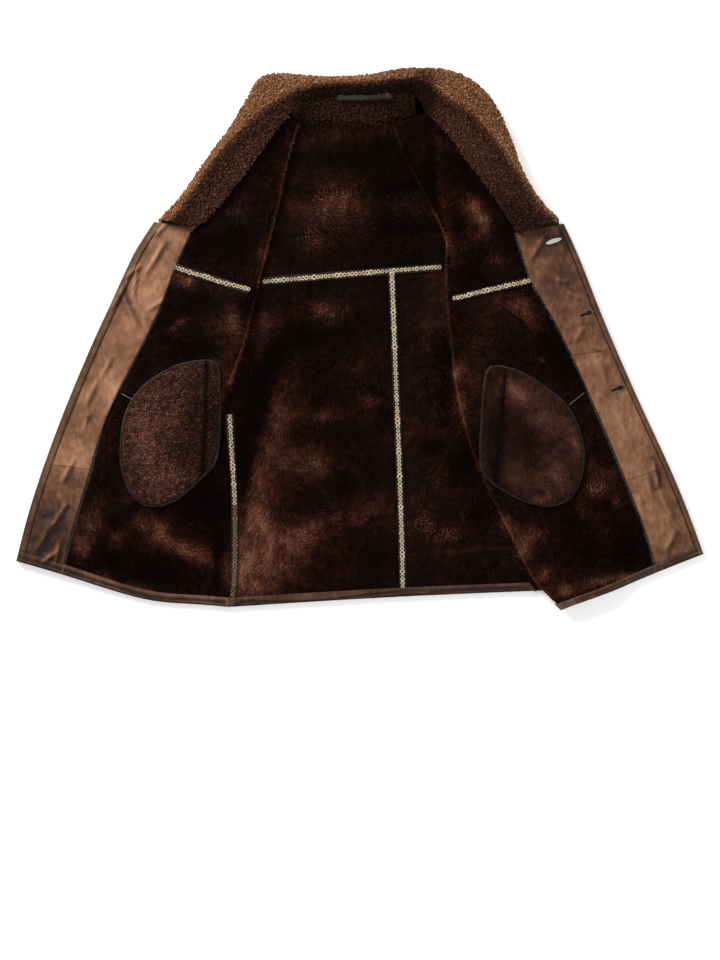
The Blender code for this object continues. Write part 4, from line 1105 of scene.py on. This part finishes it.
stitchUnit = stitchShape(stitching["size"])
whipUnit = stitchShape(overcast["size"])
for side, sign in sideSign.items():
    insets = (stitching["edgeInset"], stitching["bandInset"][side])
    sewLine("edge_stitching_" + side, [(edgeLine[side], sign * inset) for inset in insets], "leather")
    layCopies("facing_overcast_" + side, whipUnit,
              stepped(facingLine[side], overcast["apart"], sign * overcast["inset"]), "overcast", "seam_tape",
              overcast["lift"], overcast["turn"], stitching["wobble"])
for name, points in hemLines.items():
    sewLine(name, [(points, hemSign(name) * depth) for depth in hemInsets], "hem_leather")
print("edges sewn")

# ---- braid on the seams
braid = {"apart": 5.9, "ring": (2.25, 0.95, 1.2), "picotApart": 3.8, "picot": (1.3, 0.5, 0.4), "away": 4.1,
         "wobble": 0.5, "picotWobble": 0.6, "dimBelow": -255, "foldAt": -169, "bendAt": -186}


def tapeLine(name, parts=16):
    # middle line of a tape's solid, from its own points
    spots = [v.co.xy / mm for v in nodes[name].data.vertices]
    low = Vector((min(p.x for p in spots), min(p.y for p in spots)))
    high = Vector((max(p.x for p in spots), max(p.y for p in spots)))
    key = 0 if high.x - low.x > high.y - low.y else 1
    line = []
    for k in range(parts):
        a = low[key] + (high[key] - low[key]) * k / parts
        near = [p for p in spots if a <= p[key] <= a + (high[key] - low[key]) / parts * 1.02]
        if near:
            line.append(sum(near, Vector((0, 0))) / len(near))
    first, last = 1.5 * line[0] - 0.5 * line[1], 1.5 * line[-1] - 0.5 * line[-2]
    return [tuple(p) for p in [first] + line[1:-1] + [last]]


ringUnit = ringShape(*braid["ring"])
picotUnit = ringShape(*braid["picot"])
for tape in ("tape_back_yoke", "tape_centre_back", "tape_side_right", "tape_front_right", "tape_front_left"):
    points = tapeLine(tape)
    name, under = tape.replace("tape_", "braid_"), tape + "_hide"
    if name == "braid_front_right":  # runs straight on to the fold, and ends there
        points = [point for point in points if point[0] < braid["bendAt"]]
        (x0, y0), (x1, y1) = points[-3], points[-1]
        points.append((braid["foldAt"], y1 + (y1 - y0) * (braid["foldAt"] - x1) / (x1 - x0)))
    rings = stepped(points, braid["apart"])
    # the lower half of the side braid gets the darker cream: painted shade from the nap around it
    if name == "braid_side_right":  # its lower half lies deep in the wool
        low = [ring for ring in rings if ring[0].y < braid["dimBelow"]]
        rings = [ring for ring in rings if ring[0].y >= braid["dimBelow"]]
        layCopies(name + "_low", ringUnit, low, "dimCream", "seam_tape", 0.3, 0, braid["wobble"], under, 0.4)
    layCopies(name, ringUnit, rings, "cream", "seam_tape", 0.5, 0, braid["wobble"], under, 0.45)
    sides = stepped(points, braid["picotApart"], braid["away"])
    sides += stepped(points, braid["picotApart"], -braid["away"])
    layCopies(name + "_picots", picotUnit, sides, "picot", "seam_tape", 0.4, 0, braid["picotWobble"], under,
              0.3)
print("braid laid")

# ---- threads between facing and pocket: both ends, height over the wool, sag and half thickness
stays = {"right": ((-368, -85), (-350, -95)), "left": ((322, -103), (346, -84)), "lift": 3.0, "sag": 1.2,
         "radius": 0.55}


def stayThread(name, start, end):
    a, b = (onTop(*spot, stays["lift"])[0] for spot in (start, end))
    curve = bpy.data.curves.new(name, "CURVE")
    curve.dimensions = "3D"
    curve.bevel_depth = stays["radius"] * mm
    curve.bevel_resolution = 1
    curve.use_fill_caps = True
    row = curve.splines.new("POLY")
    row.points.add(10)
    for k, point in enumerate(row.points):
        sag = stays["sag"] * mm * math.sin(math.pi * k / 10)
        point.co = (*(a.lerp(b, k / 10) - Vector((0, 0, sag))), 1)
    source = sceneObject(name + "Curve", curve)
    mesh = evaluated(source)
    bpy.data.objects.remove(source)
    smoothShade(mesh)
    mesh.materials.clear()
    enter(sceneObject(name, mesh), "seam_tape", "stay")


for side in ("right", "left"):
    stayThread("stay_thread_" + side, *stays[side])

Buttonhole = namedtuple("Buttonhole", "x y long wide turn thread")
buttonholes = [Buttonhole(299.5, 150.8, 15.6, 5.2, 20, "seamThread"),
               Buttonhole(348.5, 37.3, 11.4, 4.9, 22, "holeThread"),
               Buttonhole(396.5, -78.2, 11.4, 4.9, 24, "holeThread")]
holeSewing = {"stitches": 34, "size": (2.6, 0.6, 0.8), "lift": 0.3, "lips": (10.8, 4.2, 0.9), "lipsDown": 0.1}
for k, hole in enumerate(buttonholes):
    middle, turn = Vector((hole.x, hole.y)), math.radians(hole.turn)
    places = []
    for n in range(holeSewing["stitches"]):
        a = 2 * math.pi * n / holeSewing["stitches"]
        away = Matrix.Rotation(turn, 2) @ Vector((hole.long * math.cos(a), hole.wide * math.sin(a)))
        places.append((middle + away, away.normalized()))
    layCopies(f"buttonhole_stitching_{k + 1}", stitchShape(holeSewing["size"]), places, hole.thread,
              "leather", holeSewing["lift"])
# at each of the two lower buttonholes a dark oval laid on the facing is painted shade in the hole
for k, hole in enumerate(buttonholes[1:], 2):  # the lips of the two lower buttonholes lie shut
    top, _ = onTop(hole.x, hole.y + 9)
    bm = bmesh.new()
    bmesh.ops.create_uvsphere(bm, u_segments=20, v_segments=8, radius=1)
    place = Matrix.Translation((hole.x * mm, hole.y * mm, top.z - holeSewing["lipsDown"] * mm))
    place = place @ Matrix.Rotation(math.radians(hole.turn), 4, "Z")
    place = place @ Matrix.Diagonal((*(Vector(holeSewing["lips"]) * mm), 1))
    bmesh.ops.transform(bm, matrix=place, verts=bm.verts[:])
    paintLight(bm, [], -0.1)
    addPiece(f"buttonhole_lips_{k}", bm, ["rawEdge"], "leather")
print("threads made")

# ---- cloth facts: cut width and length in metres, cut area in square metres, what it lies on
Cut = namedtuple("Cut", "width length area rests")
cuts = {name: Cut(*row) for name, *row in [
    ("back_left", 0.284, 0.512, 0.1090, []), ("back_right", 0.276, 0.514, 0.1400, []),
    ("back_yoke", 0.254, 0.432, 0.0960, []), ("collar", 0.140, 0.860, 0.0810, ["back_yoke"]),
    ("collar_stand", 0.052, 0.200, 0.0090, ["back_yoke"]),
    ("front_left", 0.400, 0.520, 0.1715, ["back_left", "sleeve_left"]),
    ("front_right", 0.342, 0.512, 0.1450, ["back_right", "sleeve_right"]),
    ("front_yoke_left", 0.240, 0.300, 0.0632, ["back_yoke", "sleeve_left"]),
    ("front_yoke_right", 0.198, 0.280, 0.0478, ["back_yoke", "sleeve_right"]),
    ("edge_band_left", 0.022, 0.548, 0.0068, ["front_left"]),
    ("edge_band_right", 0.024, 0.554, 0.0084, ["front_right"]),
    ("facing_left_lower", 0.075, 0.140, 0.0095, ["front_left"]),
    ("facing_left_middle", 0.066, 0.216, 0.0132, ["front_left"]),
    ("facing_left_upper", 0.075, 0.223, 0.0151, ["front_left"]),
    ("facing_right_lower", 0.069, 0.152, 0.0096, ["front_right"]),
    ("facing_right_upper", 0.065, 0.425, 0.0244, ["front_right"]),
    ("hanger_loop", 0.011, 0.090, 0.00094, ["collar"]),
    ("hem_band_back", 0.022, 0.476, 0.0078, ["back_left", "back_right"]),
    ("hem_band_left", 0.016, 0.244, 0.0035, ["front_left"]),
    ("hem_band_right", 0.035, 0.336, 0.0060, ["front_right"]),
    ("pocket_bag_left", 0.134, 0.204, 0.0227, ["front_left"]),
    ("pocket_bag_right", 0.128, 0.224, 0.0246, ["front_right"]),
    ("pocket_strip_left", 0.036, 0.180, 0.0060, ["front_left"]),
    ("pocket_strip_right", 0.030, 0.175, 0.0049, ["front_right"]),
    ("pocket_binding_left", 0.0105, 0.620, 0.0053, ["front_left"]),
    ("pocket_binding_right", 0.0105, 0.660, 0.0055, ["front_right"]),
    ("sleeve_left", 0.200, 0.570, 0.0958, ["back_left", "back_yoke"]),
    ("sleeve_right", 0.230, 0.580, 0.1135, ["back_right", "back_yoke"]),
    ("tape_back_yoke", 0.0135, 0.282, 0.0034, ["back_yoke"]),
    ("tape_centre_back", 0.0135, 0.485, 0.0058, ["back_left", "back_right"]),
    ("tape_front_left", 0.0125, 0.126, 0.0014, ["front_left"]),
    ("tape_front_right", 0.0130, 0.121, 0.0015, ["front_right"]),
    ("tape_side_right", 0.0135, 0.284, 0.0034, ["back_right"]),
]}
# sewing and small pieces that go with a cut, beside the wool named after it
sewnOn = {
    "edge_band_left": ["edge_stitching_left"], "edge_band_right": ["edge_stitching_right"],
    "facing_left_upper": ["facing_overcast_left", "buttonhole_stitching_1", "buttonhole_stitching_2",
                          "buttonhole_lips_2", "collar_end_strip_left"],
    "facing_left_middle": ["buttonhole_stitching_3", "buttonhole_lips_3"],
    "facing_right_upper": ["facing_overcast_right", "collar_end_strip_right"],
    "hem_band_back": ["hem_stitching_back"], "hem_band_left": ["hem_stitching_left"],
    "hem_band_right": ["hem_stitching_right"],
    "pocket_bag_left": ["stay_thread_left"], "pocket_bag_right": ["stay_thread_right"],
    "front_right": ["fold_edge_wool_right", "hem_corner_strip_right"],
    "front_left": ["fold_edge_wool_left", "hem_corner_strip_left"], "back_right": ["side_seam_strip"],
    "collar_stand": ["neck_seam_strip", "neck_seam_strip_curls", "neck_end_strip", "neck_end_strip_curls"],
}
for name, cut in cuts.items():
    # gathers for each cut what is named after it, and braid after its tape, with what is sewn on it
    start = name.replace("tape_", "braid_") if name.startswith("tape_") else name + "_"
    if name == "collar":
        start = "collar_curls"
    own = [item for key, item in pieces.items() if key.startswith(start) and key != name + "_hide"]
    own += [pieces[key] for key in sewnOn.get(name, []) if pieces[key] not in own]

# ---- stage, camera, light
stageValues = {"floorSize": 8.0, "floorDown": 0.0004, "floorGlow": 0.45, "worldGlow": 0.42,
               "cameraHeight": 6.0, "viewHeight": 1.488, "middleY": -0.2186, "sensor": 36}
lights = {"keyLight": {"place": (-1.5, 1.6, 2.2), "size": 1.1, "power": 74},
          "fillLight": {"place": (1.9, -0.6, 2.4), "size": 2.0, "power": 18}}

bm = bmesh.new()
bmesh.ops.create_grid(bm, x_segments=1, y_segments=1, size=stageValues["floorSize"] / 2)
bmesh.ops.translate(bm, verts=bm.verts[:], vec=(0, 0, -stageValues["floorDown"]))
floor = meshObject("floor", bm)
floorLook, tree, shader = newMaterial("paleFloor")
feed(tree, shader, {"Base Color": (0.86, 0.86, 0.86, 1), "Roughness": 0.9, "Specular IOR Level": 0.1,
                    "Emission Color": (1, 1, 1, 1), "Emission Strength": stageValues["floorGlow"]})
floor.data.materials.append(floorLook)

world = bpy.data.worlds.new("studio")
bpy.context.scene.world = world
world.use_nodes = True
feed(world.node_tree, world.node_tree.nodes["Background"],
     {"Color": (1, 1, 1, 1), "Strength": stageValues["worldGlow"]})

for name, values in lights.items():
    light = bpy.data.lights.new(name, "AREA")
    light.size = values["size"]
    light.energy = values["power"]
    item = sceneObject(name, light)
    item.location = values["place"]
    item.rotation_euler = (-item.location).to_track_quat("-Z", "Y").to_euler()

camera = bpy.data.cameras.new("camera")
camera.sensor_width = stageValues["sensor"]
camera.lens = stageValues["sensor"] * stageValues["cameraHeight"] / stageValues["viewHeight"]
camera.clip_end = 50
eye = sceneObject("camera", camera)
eye.location = (0, stageValues["middleY"], stageValues["cameraHeight"])
bpy.context.scene.camera = eye
bpy.context.scene.view_settings.view_transform = "Standard"
print("stage ready")

for item in helpers:
    bpy.data.objects.remove(item)
counts = {}
for item in pieces.values():
    item.data.calc_loop_triangles()
    counts[item.name] = len(item.data.loop_triangles)
print("pieces", len(counts), "triangles", sum(counts.values()), "most in one", max(counts.values()))
